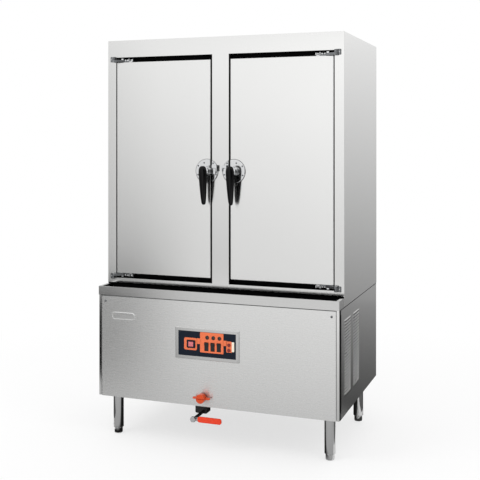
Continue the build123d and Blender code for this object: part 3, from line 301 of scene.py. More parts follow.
def round_edges(piece, test, radius, segments):
    """Rounds the edges that pass the test."""
    pick(piece, "EDGE", test)
    bpy.ops.mesh.bevel(offset=radius, segments=segments, affect="EDGES")
    leave_edit()


def round_corners(piece, radius, segments):
    """Rounds the corners of an upright plate, whose edges run from front to back."""
    round_edges(piece, lambda a, b: abs(a.y - b.y) > SAME_PLACE, radius, segments)


def modify(piece, kind, **settings):
    """Adds a modifier and applies it."""
    work_on(piece)
    bpy.ops.object.modifier_add(type=kind)
    modifier = piece.modifiers[-1]
    for key, value in settings.items():
        setattr(modifier, key, value)
    bpy.ops.object.modifier_apply(modifier=modifier.name)


def soften(piece, width, segments, angle):
    """Rounds every edge sharper than the angle."""
    limit = {"limit_method": "ANGLE", "angle_limit": math.radians(angle), "use_clamp_overlap": True}
    modify(piece, "BEVEL", width=width, segments=segments, **limit)


def thicken(piece, thickness):
    """Gives an open shell its wall, on the inside."""
    modify(piece, "SOLIDIFY", thickness=thickness, offset=-1.0)


def shade(piece, angle=40.0):
    """Smooth shading that leaves big flat faces flat."""
    work_on(piece)
    bpy.ops.object.shade_smooth_by_angle(angle=math.radians(angle))
    modify(piece, "WEIGHTED_NORMAL", keep_sharp=True, weight=60)


def copy_of_node(node, name):
    """A merged copy of a CAD node, as the start of a piece."""
    work_on(frame["nodes"][node])
    bpy.ops.object.duplicate(linked=False)
    piece = bpy.context.object
    bpy.ops.object.parent_clear(type="CLEAR_KEEP_TRANSFORM")
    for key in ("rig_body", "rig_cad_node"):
        del piece[key]
    piece.name = name
    piece.data.name = name
    piece.data.materials.clear()
    edit_all(piece)
    bpy.ops.mesh.customdata_custom_splitnormals_clear()
    bpy.ops.mesh.remove_doubles(threshold=SAME_PLACE)
    bpy.ops.mesh.dissolve_limited(angle_limit=math.radians(0.5))
    leave_edit()
    return piece


def lofted(name, rings, place, turn=(0, 0, 0), count=32):
    """A closed form drawn ring by ring.

    Each ring has a height, two half widths and a shift towards the back, in millimetres.
    """
    (height, wide, deep, back), *others = [[value * MM for value in ring] for ring in rings]
    piece = start(
        bpy.ops.mesh.primitive_circle_add,
        name,
        vertices=count,
        radius=1.0,
        fill_type="NGON",
        location=(0, back, height),
        scale=(wide, deep, 1.0),
    )
    edit_all(settle(piece))
    bpy.ops.mesh.select_mode(type="FACE")
    for next_height, next_wide, next_deep, next_back in others:
        move = (0, next_back - back, next_height - height)
        bpy.ops.mesh.extrude_region_move(TRANSFORM_OT_translate={"value": move})
        growth = (next_wide / wide, next_deep / deep, 1.0)
        bpy.ops.transform.resize(value=growth, center_override=(0, next_back, next_height))
        height, wide, deep, back = next_height, next_wide, next_deep, next_back
    bpy.ops.mesh.select_all(action="SELECT")
    bpy.ops.mesh.normals_make_consistent(inside=False)
    leave_edit()
    piece.rotation_euler = turn
    piece.location = place
    return settle(piece)


def turned(name, rings, place, turn=(0, 0, 0), count=32):
    """A round closed form: each ring has a height and a radius, in millimetres."""
    return lofted(name, [(height, radius, radius, 0) for height, radius in rings], place, turn, count)


def screw(name, place, turn, radius):
    """A pan-head screw, standing out of a surface."""
    size = radius / MM
    rings = [(-0.5, size)] + [(height * size, share * size) for height, share in PAN_HEAD]
    head = turned(name, rings, place, turn, 16)
    shade(head, 50.0)
    return head


def copied(piece, name, move=(0, 0, 0), mirror_x=False):
    """A copy with its own mesh, moved or mirrored to the cabinet's other side."""
    work_on(piece)
    bpy.ops.object.duplicate(linked=False)
    twin = bpy.context.object
    twin.name = name
    twin.data.name = name
    twin.location = move
    if mirror_x:
        twin.scale.x = -1.0
    settle(twin)
    if mirror_x:
        edit_all(twin)
        bpy.ops.mesh.normals_make_consistent(inside=False)
        leave_edit()
    return twin


def joined(pieces, name):
    """Several meshes as one piece."""
    work_on(pieces[0])
    for piece in pieces[1:]:
        piece.select_set(True)
    bpy.ops.object.join()
    pieces[0].name = name
    pieces[0].data.name = name
    return pieces[0]


def cut(piece, cutter):
    """Cuts one mesh out of another and removes the cutter."""
    modify(piece, "BOOLEAN", operation="DIFFERENCE", solver="EXACT", object=cutter)
    work_on(cutter)
    bpy.ops.object.delete()


def place_piece(piece, body, slot, replaces=(), finish=None):
    """Gives a finished piece its body and the material of its slot or its own finish, and hides the nodes
    that it replaces.
    """
    piece.data.materials.clear()
    piece.data.materials.append(bpy.data.materials[finish or SLOT_FINISHES[slot]])
    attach(piece, body)
    if replaces:
        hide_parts(*replaces)


def rounded_node(node, name, body, slot, width, segments, angle, finish=None, smooth=40.0):
    """A CAD node's own form with its edges rounded, as a finished piece in the node's place."""
    piece = copy_of_node(node, name)
    soften(piece, width, segments, angle)
    shade(piece, smooth)
    place_piece(piece, body, slot, [node], finish)


def cast_node(node, name, body, finish=None):
    """A die-cast fitting, with the soft edges that its mould gives it."""
    rounded_node(node, name, body, "cast_fitting", sizes().cast_edge, 3, 35.0, finish)


# Finishes


def new_tree(owner):
    """The emptied node tree of a material or a world."""
    owner.use_nodes = True
    owner.node_tree.nodes.clear()
    return owner.node_tree


def add_node(tree, kind, settings=None, links=None):
    """Adds a shader node, sets its properties and sockets, and links its sockets.

    A socket is linked to another node's output, or to the first output of a node that is given.
    """
    node = tree.nodes.new(kind)
    for key, value in (settings or {}).items():
        if isinstance(key, int) or key in node.inputs:
            node.inputs[key].default_value = value
        else:
            setattr(node, key, value)
    for key, source in (links or {}).items():
        output = source.outputs[0] if isinstance(source, bpy.types.Node) else source
        tree.links.new(output, node.inputs[key])
    return node


METAL = 1.0
NO_METAL = 0.0
HAIRLINE = {"Anisotropic": 0.95, "Anisotropic Rotation": 0.25}

# Each finish has its name, its colour's setting, its metallic value, its least and greatest roughness, the
# grain's size along each axis, the grain's depth, the size of broad patches, how much they darken the
# colour, the depth of broad waves, and what else its shader needs. Lengths are in millimetres.
FINISHES = (
    # Stainless sheet brushed upright with a fine belt: soft mirror images, drawn out along the grain.
    # The real scratches are 0.1 mm apart, too fine to show, so they are drawn 0.9 mm apart.
    ("brushed_stainless_upright", "steel", METAL, (0.12, 0.17), (0.9, 0.9, 70), 0.0012, 420, 0.03, 0.4),
    # The same sheet cut with its grain along the cabinet's width, for the ledge and the bezel: a little
    # duller, with mirror images drawn out sideways.
    ("brushed_stainless_level", "ledge_steel", METAL, (0.16, 0.22), (70, 0.9, 0.9), 0.0012, 420, 0.03, 0.4),
    # Hairline door sheet, grained level: mirror images stay sharp sideways and run upright.
    ("hairline_stainless", "door_steel", METAL, (0.17, 0.2), (70, 0.9, 0.9), 0.0012, 420, 0.03, 0.3,
     HAIRLINE),
    # Satin sheet of the service panel: a coarser belt, so that near things hardly mirror in it.
    ("satin_stainless", "door_steel", METAL, (0.25, 0.3), (70, 0.9, 0.9), 0.0005, 420, 0.02, 0.1, HAIRLINE),
    # Mill-finish stainless of the steam chamber: even, greyer and duller than brushed sheet.
    ("mill_stainless", "liner", METAL, (0.26, 0.36), (6, 6, 6), 0.002, 160, 0.08, 0.2),
    # Polished tube: bright, with faint rings from the polishing belt.
    ("polished_tube", "tube", METAL, (0.07, 0.14), (8, 8, 0.8), 0.001, 60, 0.05, 0.0),
    # Chromed zinc die casting: bright, with the slight unevenness of a buffed casting.
    ("chromed_casting", "cast", METAL, (0.08, 0.16), (2.5, 2.5, 2.5), 0.01, 20, 0.08, 0.0),
    # Nickel-plated casting: darker than chrome, with a half-polished skin.
    ("nickel_casting", "hinge", METAL, (0.16, 0.3), (2.5, 2.5, 2.5), 0.02, 12, 0.25, 0.0),
    # Blackened screw: dark oxide, half matt.
    ("blackened_screw", "screw", METAL, (0.3, 0.42), (1.5, 1.5, 1.5), 0.01, 8, 0.2, 0.0),
    # Galvanised angle: dull grey with large soft patches.
    ("galvanised_steel", "frame_steel", METAL, (0.38, 0.52), (5, 5, 5), 0.01, 14, 0.2, 0.0),
    # Extruded rubber: almost black and matt.
    ("extruded_rubber", "rubber", NO_METAL, (0.55, 0.7), (0.8, 0.8, 6), 0.01, 40, 0.3, 0.0,
     {"Specular IOR Level": 0.04}),
    # Compression-moulded phenolic: deep black with a wet gloss and very soft waves.
    ("phenolic_gloss", "grip", NO_METAL, (0.1, 0.16), (9, 9, 9), 0.01, 30, 0.2, 0.0,
     {"Specular IOR Level": 0.22}),
    # Glass-filled nylon with a spark-eroded skin: dark grey, half matt and finely grained.
    ("moulded_nylon", "nylon", NO_METAL, (0.36, 0.5), (0.7, 0.7, 0.7), 0.02, 30, 0.15, 0.0),
    # Printed polycarbonate overlay: smooth dark blue film with a faint velvet texture.
    ("printed_film", "fascia", NO_METAL, (0.3, 0.4), (0.6, 0.6, 0.6), 0.004, 60, 0.2, 0.0,
     {"Specular IOR Level": 0.2}),
    # Orange ink under the same film.
    ("orange_print", "orange", NO_METAL, (0.3, 0.4), (0.6, 0.6, 0.6), 0.004, 30, 0.06, 0.0),
    # Cream ink under the same film.
    ("cream_print", "cream", NO_METAL, (0.3, 0.4), (0.6, 0.6, 0.6), 0.004, 30, 0.05, 0.0),
    # Tinted acrylic lens over an unlit lamp: dark, with a clear gloss.
    ("tinted_acrylic", "lamp", NO_METAL, (0.05, 0.1), (4, 4, 4), 0.004, 8, 0.3, 0.0, {"Coat Weight": 0.6}),
    # Translucent polycarbonate button: pinkish red with light in its depth.
    ("translucent_red", "power", NO_METAL, (0.2, 0.3), (3, 3, 3), 0.004, 8, 0.15, 0.0,
     {"Subsurface Weight": 0.15, "Subsurface Scale": 0.002}),
    # Moulded ABS buttons: dark red and satin.
    ("red_abs", "push", NO_METAL, (0.28, 0.38), (0.8, 0.8, 0.8), 0.008, 8, 0.1, 0.0),
    # Moulded ABS knob: strong orange, satin gloss.
    ("orange_abs", "knob", NO_METAL, (0.18, 0.28), (0.9, 0.9, 0.9), 0.01, 16, 0.2, 0.0),
    # Dipped vinyl sleeve: red orange, soft gloss with slow ripples from dipping.
    ("dipped_vinyl", "sleeve", NO_METAL, (0.2, 0.3), (6, 6, 6), 0.1, 20, 0.15, 0.0),
    # Mineral wool slab: matt, fibrous and yellow brown.
    ("mineral_wool", "wool", NO_METAL, (0.85, 0.95), (12, 2, 2), 0.6, 60, 0.3, 0.0),
    # Forged brass: yellow metal with a cast skin.
    ("forged_brass", "brass", METAL, (0.24, 0.36), (2, 2, 2), 0.02, 12, 0.15, 0.0),
)


def make_finish(name, setting, metallic, rough, grain, depth, patch, tone, wave, extra=None):
    """The material of one row of FINISHES."""
    tree = new_tree(bpy.data.materials.new(name))
    place = add_node(tree, "ShaderNodeTexCoord").outputs["Object"]
    scale = [1.0 / (size * MM) for size in grain]
    mapping = add_node(tree, "ShaderNodeMapping", {"Scale": scale}, {"Vector": place})
    fine = {"Scale": 1.0, "Detail": 3.0, "Roughness": 0.6}
    grains = add_node(tree, "ShaderNodeTexNoise", fine, {"Vector": mapping})
    broad = {"Scale": 1.0 / (patch * MM), "Detail": 2.0, "Roughness": 0.5}
    patches = add_node(tree, "ShaderNodeTexNoise", broad, {"Vector": place})
    colour = getattr(colours(), setting)
    light = [*colour, 1.0]
    dark = [*(channel * (1.0 - tone) for channel in colour), 1.0]
    tinted = add_node(tree, "ShaderNodeMix", {"data_type": "RGBA", 6: light, 7: dark}, {0: patches})
    limits = {"From Min": 0.3, "From Max": 0.7, "To Min": rough[0], "To Max": rough[1]}
    rub = add_node(tree, "ShaderNodeMapRange", limits, {"Value": grains})
    relief = {"Height": grains}
    if wave:
        swell = {"Distance": wave * MM, "Strength": 1.0}
        relief["Normal"] = add_node(tree, "ShaderNodeBump", swell, {"Height": patches})
    bump = add_node(tree, "ShaderNodeBump", {"Distance": depth * MM, "Strength": 1.0}, relief)
    shader = add_node(
        tree,
        "ShaderNodeBsdfPrincipled",
        {"Metallic": metallic, **(extra or {})},
        {"Base Color": tinted.outputs[2], "Roughness": rub, "Normal": bump},
    )
    add_node(tree, "ShaderNodeOutputMaterial", links={"Surface": shader})


class CABINET_OT_finishes(bpy.types.Operator):
    """Makes the finishes and gives every CAD node its own."""

    bl_idname = "cabinet.finishes"
    bl_label = "Finishes"

    def execute(self, context):
        for row in FINISHES:
            make_finish(*row)
        for subpart in frame["record"]["subparts"]:
            node = frame["nodes"][subpart["node"]]
            if not node.material_slots:
                raise RuntimeError(f"{node.name} has no material slot")
            for slot in node.material_slots:
                slot.link = "OBJECT"
                slot.material = bpy.data.materials[SLOT_FINISHES[subpart["material_slot"]]]
        return {"FINISHED"}


# Doors


class CABINET_OT_door_skins(bpy.types.Operator):
    """Models the folded outer pan of each door, with its flat face."""

    bl_idname = "cabinet.door_skins"
    bl_label = "Door skins"

    def execute(self, context):
        face_rings = (30 * MM, 60 * MM, 80 * MM)
        for side in SIDES:
            node = f"{side}_door_skin"
            low, high = box_of(node)
            skin = start_block(f"{side}_door_sheet", low, high)
            remove_faces(skin, lambda centre, normal: normal.y > 0.9)
            round_edges(skin, lambda a, b: min(a.y, b.y) < low.y + MM, sizes().door_edge, 4)
            pick(skin, "FACE", lambda centre, normal: normal.y < -0.99)
            for ring in face_rings:
                bpy.ops.mesh.inset(thickness=ring)
            leave_edit()
            thicken(skin, sizes().sheet)
            shade(skin)
            place_piece(skin, f"{side}_door", "stainless_sheet", [node], "hairline_stainless")
        return {"FINISHED"}


class CABINET_OT_grips(bpy.types.Operator):
    """Models the moulded grips round the hubs and lever bars."""

    bl_idname = "cabinet.grips"
    bl_label = "Latch grips"

    def execute(self, context):
        lean = math.radians(4)
        rings = (
            (26.8, 4.0, 3.4, -10.0), (26.0, 8.6, 6.6, -10.2), (23.2, 13.2, 9.8, -10.4),
            (17.6, 17.2, 12.2, -10.6), (9.0, 19.9, 13.2, -10.6), (-3.0, 20.9, 13.5, -10.5),
            (-16.0, 20.9, 13.4, -10.4), (-34.0, 20.0, 13.0, -10.2), (-68.0, 18.3, 12.4, -9.8),
            (-102.0, 15.8, 11.6, -9.4), (-126.0, 13.6, 10.8, -9.2), (-142.0, 11.6, 10.0, -9.0),
            (-150.0, 10.2, 9.2, -9.0), (-155.0, 7.8, 7.2, -9.0), (-157.5, 4.2, 4.0, -9.0),
        )
        for side in SIDES:
            grip = lofted(f"{side}_grip", rings, latch_centre(side), (lean, 0, 0))
            modify(grip, "SUBSURF", levels=1, render_levels=1)
            shade(grip, 60.0)
            place_piece(grip, f"{side}_latch", "black_grip", [f"{side}_latch_grip"])
        return {"FINISHED"}


class CABINET_OT_latches(bpy.types.Operator):
    """Rounds the cast latches and keepers, and adds the screws and the black rubber gaskets of their split
    roses, whose dark rims are painted shade round each rose.
    """

    bl_idname = "cabinet.latches"
    bl_label = "Latches"

    def execute(self, context):
        # Millimetres towards the door's middle and upwards from the hub: three screws on the door, then
        # three on the cabinet
        screws = ((13, 39.3), (43.5, 25), (45, -18), (-33, 38), (-44.5, 25.5), (-47.5, -16.5))
        rose_thickness = 4.0 * MM
        rose = sizes().rose / MM
        for side, sign in SIDES.items():
            door = f"{side}_door"
            for node, body in ((f"{side}_latch_plate", door), (f"{side}_latch_cam", f"{side}_latch")):
                cast_node(node, f"{node}_cast", body)
            hub = latch_centre(side)
            rose_face = box_of(f"{side}_latch_plate")[1].y - rose_thickness
            for number, (across, up) in enumerate(screws, start=1):
                place = (hub.x + sign * across * MM, rose_face, hub.z + up * MM)
                piece = screw(f"{side}_rose_screw_{number}", place, TOWARDS_FRONT, sizes().small_screw)
                body = door if across > 0 else "cabinet"
                place_piece(piece, body, "cast_fitting", finish="blackened_screw")
            # Black rubber under each half of the rose, a little wider than the rose: a real gasket whose
            # dark rim is also painted shade round the rose's edge
            for half, body, limit in (("outer", door, -17), ("inner", "cabinet", -27)):
                rings = ((-0.2, rose), (1.0, rose), (1.6, rose - 1.0))
                place = (hub.x, frame_front(), hub.z)
                gasket = turned(f"{side}_{half}_gasket", rings, place, TOWARDS_FRONT, 64)
                edit_all(gasket)
                bpy.ops.mesh.bisect(
                    plane_co=(hub.x + sign * limit * MM, 0, 0),
                    plane_no=(sign, 0, 0),
                    use_fill=True,
                    clear_inner=half == "outer",
                    clear_outer=half == "inner",
                )
                leave_edit()
                shade(gasket)
                place_piece(gasket, body, "black_rubber")
        cast_node("latch_keepers", "keepers_cast", "cabinet")
        return {"FINISHED"}


class CABINET_OT_hinges(bpy.types.Operator):
    """Rounds the hinge castings and adds their screws, lugs, stops, tails and shims, whose black rubber also
    paints the shade round the brackets.
    """

    bl_idname = "cabinet.hinges"
    bl_label = "Hinges"

    def execute(self, context):
        cast_node("hinge_brackets", "brackets_cast", "cabinet", "nickel_casting")
        for side, sign in SIDES.items():
            node = f"{side}_hinge_arms"
            cast_node(node, f"{node}_cast", f"{side}_door", "nickel_casting")
            for end, up in (("top", 1), ("bottom", -1)):
                self.dress_arm(side, sign, end, up)
                self.dress_bracket(side, sign, end, up)
        return {"FINISHED"}

    def dress_arm(self, side, sign, end, up):
        """The cheese-head screws and the lugs on one arm, which swing with the door."""
        # How far the arm stands past the door's edge, and where the screws stand on it
        arm_rise, screw_depth, screw_rise = 11.8 * MM, 8.0 * MM, 5.0 * MM
        screw_insets = (11 * MM, 24 * MM, -9 * MM)
        # Each lug's start from the arm's free end, its width and its height, in millimetres
        lugs = (("lug", 0, 4, 17), ("stop", 33, 11, 19.5), ("tail", -19, 19, 5.3), ("tail_lug", -19, 4, 15))
        lug_depth, lug_gap, lug_crown = 15.0 * MM, 0.3 * MM, 1.6 * MM

        low, high = box_of(f"{side}_hinge_arms")
        free_end = low.x if side == "right" else high.x
        door_edge = high.z - arm_rise if up > 0 else low.z + arm_rise
        turn = (0, 0, 0) if up > 0 else (math.radians(180), 0, 0)
        head = [(height, share * sizes().hinge_screw / MM) for height, share in CHEESE_HEAD]
        for number, inset in enumerate(screw_insets, start=1):
            place = (free_end + sign * inset, high.y - screw_depth, door_edge + up * screw_rise)
            piece = turned(f"{side}_{end}_hinge_screw_{number}", head, place, turn, 20)
            shade(piece, 50.0)
            place_piece(piece, f"{side}_door", "cast_fitting")
        for name, begin, width, height in lugs:
            x = free_end + sign * begin * MM
            crown = door_edge + up * height * MM
            piece = start_block(
                f"{side}_{end}_hinge_{name}",
                (x, high.y - lug_depth, door_edge + up * lug_gap),
                (x + sign * width * MM, high.y, crown),
            )
            near = crown * up - 0.1 * MM
            round_edges(piece, lambda a, b: min(a.z * up, b.z * up) > near, lug_crown, 3)
            soften(piece, 0.5 * MM, segments=2, angle=35.0)
            shade(piece)
            place_piece(piece, f"{side}_door", "cast_fitting")

    def dress_bracket(self, side, sign, end, up):
        """The screw and the rubber shim at one end of the brackets, on the cabinet. The shim's dark outline
        round the bracket is painted shade.
        """
        screw_inset, plate_inset, end_inset = 7 * MM, 13 * MM, 11 * MM
        plate, shim_out, shim_half = 3.0 * MM, 0.3 * MM, Vector((15, 0.5, 13)) * MM

        low, high = box_of("hinge_brackets")
        z = high.z - end_inset if up > 0 else low.z + end_inset
        place = (sign * (high.x - screw_inset), frame_front() - plate, z)
        piece = screw(f"{side}_{end}_bracket_screw", place, TOWARDS_FRONT, sizes().small_screw)
        place_piece(piece, "cabinet", "cast_fitting")
        # A black rubber shim a little larger than the bracket: its dark rim is painted shade in the crevice
        # round the bracket
        middle = Vector((sign * (high.x - plate_inset), frame_front() - shim_out, z))
        shim = start_block(f"{side}_{end}_bracket_shim", middle - shim_half, middle + shim_half)
        round_corners(shim, 3.0 * MM, 4)
        shade(shim)
        place_piece(shim, "cabinet", "black_rubber")


# Sheet work


class CABINET_OT_sheet_work(bpy.types.Operator):
    """Rounds the folds of the cabinet's outer sheets, and adds black rubber in the ledge's gutter and behind
    the seams, which also paints the shade in them.
    """

    bl_idname = "cabinet.sheet_work"
    bl_label = "Sheet work"

    def execute(self, context):
        corner = box_of("outer_wrap")[1]
        near = 0.2 * MM

        def top_fold(a, b):
            """The fold between the top and a side, which runs from front to back."""
            at_side = min(abs(a.x), abs(b.x)) > corner.x - near
            return at_side and min(a.z, b.z) > corner.z - near and abs(a.y - b.y) > near

        wrap = copy_of_node("outer_wrap", "wrap_sheet")
        round_edges(wrap, top_fold, sizes().fold_edge, 4)
        soften(wrap, 0.25 * MM, segments=1, angle=60.0)
        shade(wrap)
        place_piece(wrap, "cabinet", "stainless_sheet", ["outer_wrap"])
        for node, name, material in (
            ("front_frame", "frame_sheet", None),
            ("drip_ledge", "ledge_sheet", "brushed_stainless_level"),
            ("base_front_panel", "service_panel_sheet", "satin_stainless"),
        ):
            rounded_node(node, name, "cabinet", "stainless_sheet", sizes().sheet_edge, 2, 60.0, material)
        edge = sizes().seal_edge
        rounded_node("rubber_seals", "seal_bulbs", "cabinet", "black_rubber", edge, 4, 60.0, smooth=50.0)

        # A black rubber trough in the ledge's gutter, clear of the ledge's ends, its lip and its rim. It is
        # partly a real rubber lining and partly painted shade for the dark gutter.
        end_gap, lip_gap, rim_gap = 15.7 * MM, 6.2 * MM, 8.0 * MM
        under_frame, fold, wall = 13.0 * MM, 2.0 * MM, 1.5 * MM
        ledge_low, ledge_high = box_of("drip_ledge")
        end = ledge_high.x - end_gap
        liner = start_block(
            "gutter_liner",
            (-end, ledge_low.y + lip_gap, box_of("rubber_seals")[0].z + near),
            (end, frame_front() + under_frame, ledge_high.z - rim_gap),
        )
        remove_faces(liner, lambda centre, normal: normal.z > 0.9)
        round_edges(liner, lambda a, b: True, fold, 2)
        thicken(liner, wall)
        shade(liner)
        place_piece(liner, "cabinet", "black_rubber")

        # Rubber in the seam over the side panel and in the channel beside the front corner: a plausible
        # seal, and black as painted shade for these gaps. How deep each strip reaches behind the side's
        # face, and how far it stays below it
        seam_depth, seam_sunk, seam_tuck = 3.0 * MM, 0.4 * MM, 0.5 * MM
        channel_depth, channel_sunk = 9.8 * MM, 0.7 * MM
        channel_front, channel_back = 2.2 * MM, 30.0 * MM
        face, front, low, high = base_places()
        strip_top = high.z - 0.1 * MM
        seam = start_block(
            "seam_strip",
            (face - seam_depth, front + SIDE_PANEL_START, high.z - SIDE_PANEL_DROP - seam_tuck),
            (face - seam_sunk, high.y, strip_top),
        )
        channel = start_block(
            "channel_strip",
            (face - channel_depth, front + channel_front, low.z),
            (face - channel_sunk, front + channel_back, strip_top),
        )
        strips = joined([seam, channel], "right_base_strips")
        soften(strips, 0.8 * MM, segments=2, angle=60.0)
        shade(strips)
        other = copied(strips, "left_base_strips", mirror_x=True)
        for piece in (strips, other):
            place_piece(piece, "cabinet", "black_rubber")
        return {"FINISHED"}


class CABINET_OT_louvres(bpy.types.Operator):
    """Models the side panels: pressed louvre hoods over open slots, beside the front corner's strip."""

    bl_idname = "cabinet.louvres"
    bl_label = "Louvres"

    def execute(self, context):
        face, front, low, high = base_places()
        height, length, pitch, rows = 4.2 * MM, 134 * MM, 14.4 * MM, 24
        first_z = low.z + 92.5 * MM
        column_middles = (front + 154 * MM, front + 332 * MM)
        # How far a slot stays clear of its hood's ends, and reaches under and over the hood's lower edge
        slot_front, slot_rear, slot_under, slot_over = 14 * MM, 2 * MM, 8.2 * MM, 1.6 * MM

        sheet = start_block(
            "right_side_panel",
            (face - sizes().sheet, front + SIDE_PANEL_START, low.z),
            (face, high.y, high.z - SIDE_PANEL_DROP),
        )
        slots = []
        for column_y in column_middles:
            for row in range(rows):
                z = first_z + row * pitch
                low_corner = (face - 3 * MM, column_y - length / 2 + slot_front, z - slot_under)
                high_corner = (face + MM, column_y + length / 2 - slot_rear, z + slot_over)
                slots.append(start_block("slot", low_corner, high_corner))
        cut(sheet, joined(slots, "slots"))

        hood = self.hood(face, column_middles[0], first_z, height, length)
        hoods = [hood]
        for column, column_y in enumerate(column_middles):
            for row in range(rows):
                if column or row:
                    move = (0, column_y - column_middles[0], row * pitch)
                    hoods.append(copied(hood, f"hood_{column}_{row}", move))

        # The front corner's strip, and the web behind it that it is folded from
        wide, thick, web_inset, web_depth = 13 * MM, 2 * MM, 10 * MM, 14 * MM
        back, web_x = front + thick, face - web_inset
        strip = start_block("corner_strip", (face - wide, front, low.z), (face, back, high.z))
        web = start_block("corner_web", (web_x - thick, back, low.z), (web_x, front + web_depth, high.z))
        corner = joined([strip, web], "corner")
        soften(corner, sizes().sheet_edge, segments=2, angle=60.0)
        shade(hood, 60.0)
        right = joined([sheet, corner] + hoods, "right_side_panel")
        shade(right, 50.0)
        left = copied(right, "left_side_panel", mirror_x=True)
        for side, piece in (("right", right), ("left", left)):
            place_piece(piece, "cabinet", "stainless_sheet", [f"base_{side}_panel"])
        return {"FINISHED"}

    def hood(self, face, middle_y, foot_z, height, length):
        """One pressed hood, open along its lower edge, with ends that run down into the sheet."""
        reach = box_of("base_right_panel")[1].x - face
        # The share of the half length past which an end starts to run down
        end_start = 0.55
        hood = start(
            bpy.ops.mesh.primitive_grid_add,
            "louvre_hood",
            x_subdivisions=4,
            y_subdivisions=10,
            size=1.0,
            location=(face, middle_y, foot_z + height / 2),
            rotation=(0, math.radians(90), 0),
            scale=(height, length, 1.0),
        )
        settle(hood)
        levels = sorted({round(vertex.co.z, 6) for vertex in hood.data.vertices})
        columns = sorted({round(vertex.co.y, 6) for vertex in hood.data.vertices})
        for level in levels:
            for column in columns:
                up = (level - foot_z) / height
                along = abs(column - middle_y) / (length / 2)
                end = max(0.0, 1.0 - max(0.0, (along - end_start) / (1.0 - end_start)) ** 2) ** 0.5
                out = reach * end * max(0.0, 1.0 - up**4) ** 0.5
                pick(hood, "VERT", lambda point: (point.yz - Vector((column, level))).length < SAME_PLACE)
                bpy.ops.transform.translate(value=(out, 0, (1.0 - end) * (height / 2) * (1.0 - up)))
        leave_edit()
        thicken(hood, 0.5 * MM)
        return hood


# Base


class CABINET_OT_feet(bpy.types.Operator):
    """Models the bullet feet with their rounded toes and shoulders."""

    bl_idname = "cabinet.feet"
    bl_label = "Bullet feet"

    def execute(self, context):
        rings = (
            (0.0, 16.6), (0.7, 18.2), (2.2, 19.4), (4.6, 20.0), (8.0, 20.2), (26.0, 20.2), (28.2, 19.6),
            (29.4, 18.2), (29.7, 8.0), (84.7, 8.0),
        )
        for place in ("front_left", "front_right", "rear_left", "rear_right"):
            node = f"foot_{place}"
            low, high = box_of(node)
            foot = turned(f"{node}_turned", rings, ((low.x + high.x) / 2, (low.y + high.y) / 2, 0), count=40)
            shade(foot, 35.0)
            place_piece(foot, node, "bright_tube", [node])
        return {"FINISHED"}


class CABINET_OT_badge(bpy.types.Operator):
    """Models the bare badge plate with its raised rim."""

    bl_idname = "cabinet.badge"
    bl_label = "Badge plate"

    def execute(self, context):
        face = box_of("base_front_panel")[0].y
        half = Vector((sizes().badge_width / 2, 0, sizes().badge_height / 2))
        middle = Vector((-468 * MM, face, 592 * MM))
        out = Vector((0, -0.5 * MM, 0))
        sunk = Vector((0, 0.2 * MM, 0))
        # The widths of the rim's outer slope, of the rim and of its inner slope, its rise and its drop
        outer, rim, inner, rise, drop = 2.8 * MM, 1.2 * MM, 3.0 * MM, 1.2 * MM, 1.3 * MM
        badge = start_block("badge_plate", middle - half + out, middle + half + sunk)
        round_corners(badge, half.z * 0.98, 10)
        pick(badge, "FACE", lambda centre, normal: normal.y < -0.9)
        bpy.ops.mesh.inset(thickness=outer)
        bpy.ops.transform.translate(value=(0, -rise, 0))
        bpy.ops.mesh.inset(thickness=rim)
        bpy.ops.mesh.inset(thickness=inner)
        bpy.ops.transform.translate(value=(0, drop, 0))
        leave_edit()
        shade(badge, 30.0)
        place_piece(badge, "cabinet", "stainless_sheet", finish="satin_stainless")
        return {"FINISHED"}


class CABINET_OT_panel_screws(bpy.types.Operator):
    """Adds the screws that hold the service panel and the back panels."""

    bl_idname = "cabinet.panel_screws"
    bl_label = "Panel screws"

    def execute(self, context):
        radius = sizes().screw
        low, high = box_of("base_front_panel")
        side_margin, top_margin = 20 * MM, 25 * MM
        for side, sign in SIDES.items():
            place = (sign * (high.x - side_margin), low.y, high.z - top_margin)
            piece = screw(f"panel_screw_{side}", place, TOWARDS_FRONT, radius)
            place_piece(piece, "cabinet", "bright_tube", finish="nickel_casting")

        low, high = box_of("back_panels")
        seam = box_of("outer_wrap")[0].z
        margin = 15 * MM
        left, right = low.x + side_margin, high.x - side_margin
        across = 7
        places = [
            (left + number * (right - left) / (across - 1), z)
            for z in (low.z + margin, seam - margin, seam + margin, high.z - margin)
            for number in range(across)
        ]
        places += [(x, z) for z in (1000 * MM, 1300 * MM, 1600 * MM) for x in (left, right)]
        heads = [screw("back_screw", (x, high.y, z), TOWARDS_BACK, radius) for x, z in places]
        place_piece(joined(heads, "back_screws"), "cabinet", "bright_tube")
        return {"FINISHED"}


# Water fittings


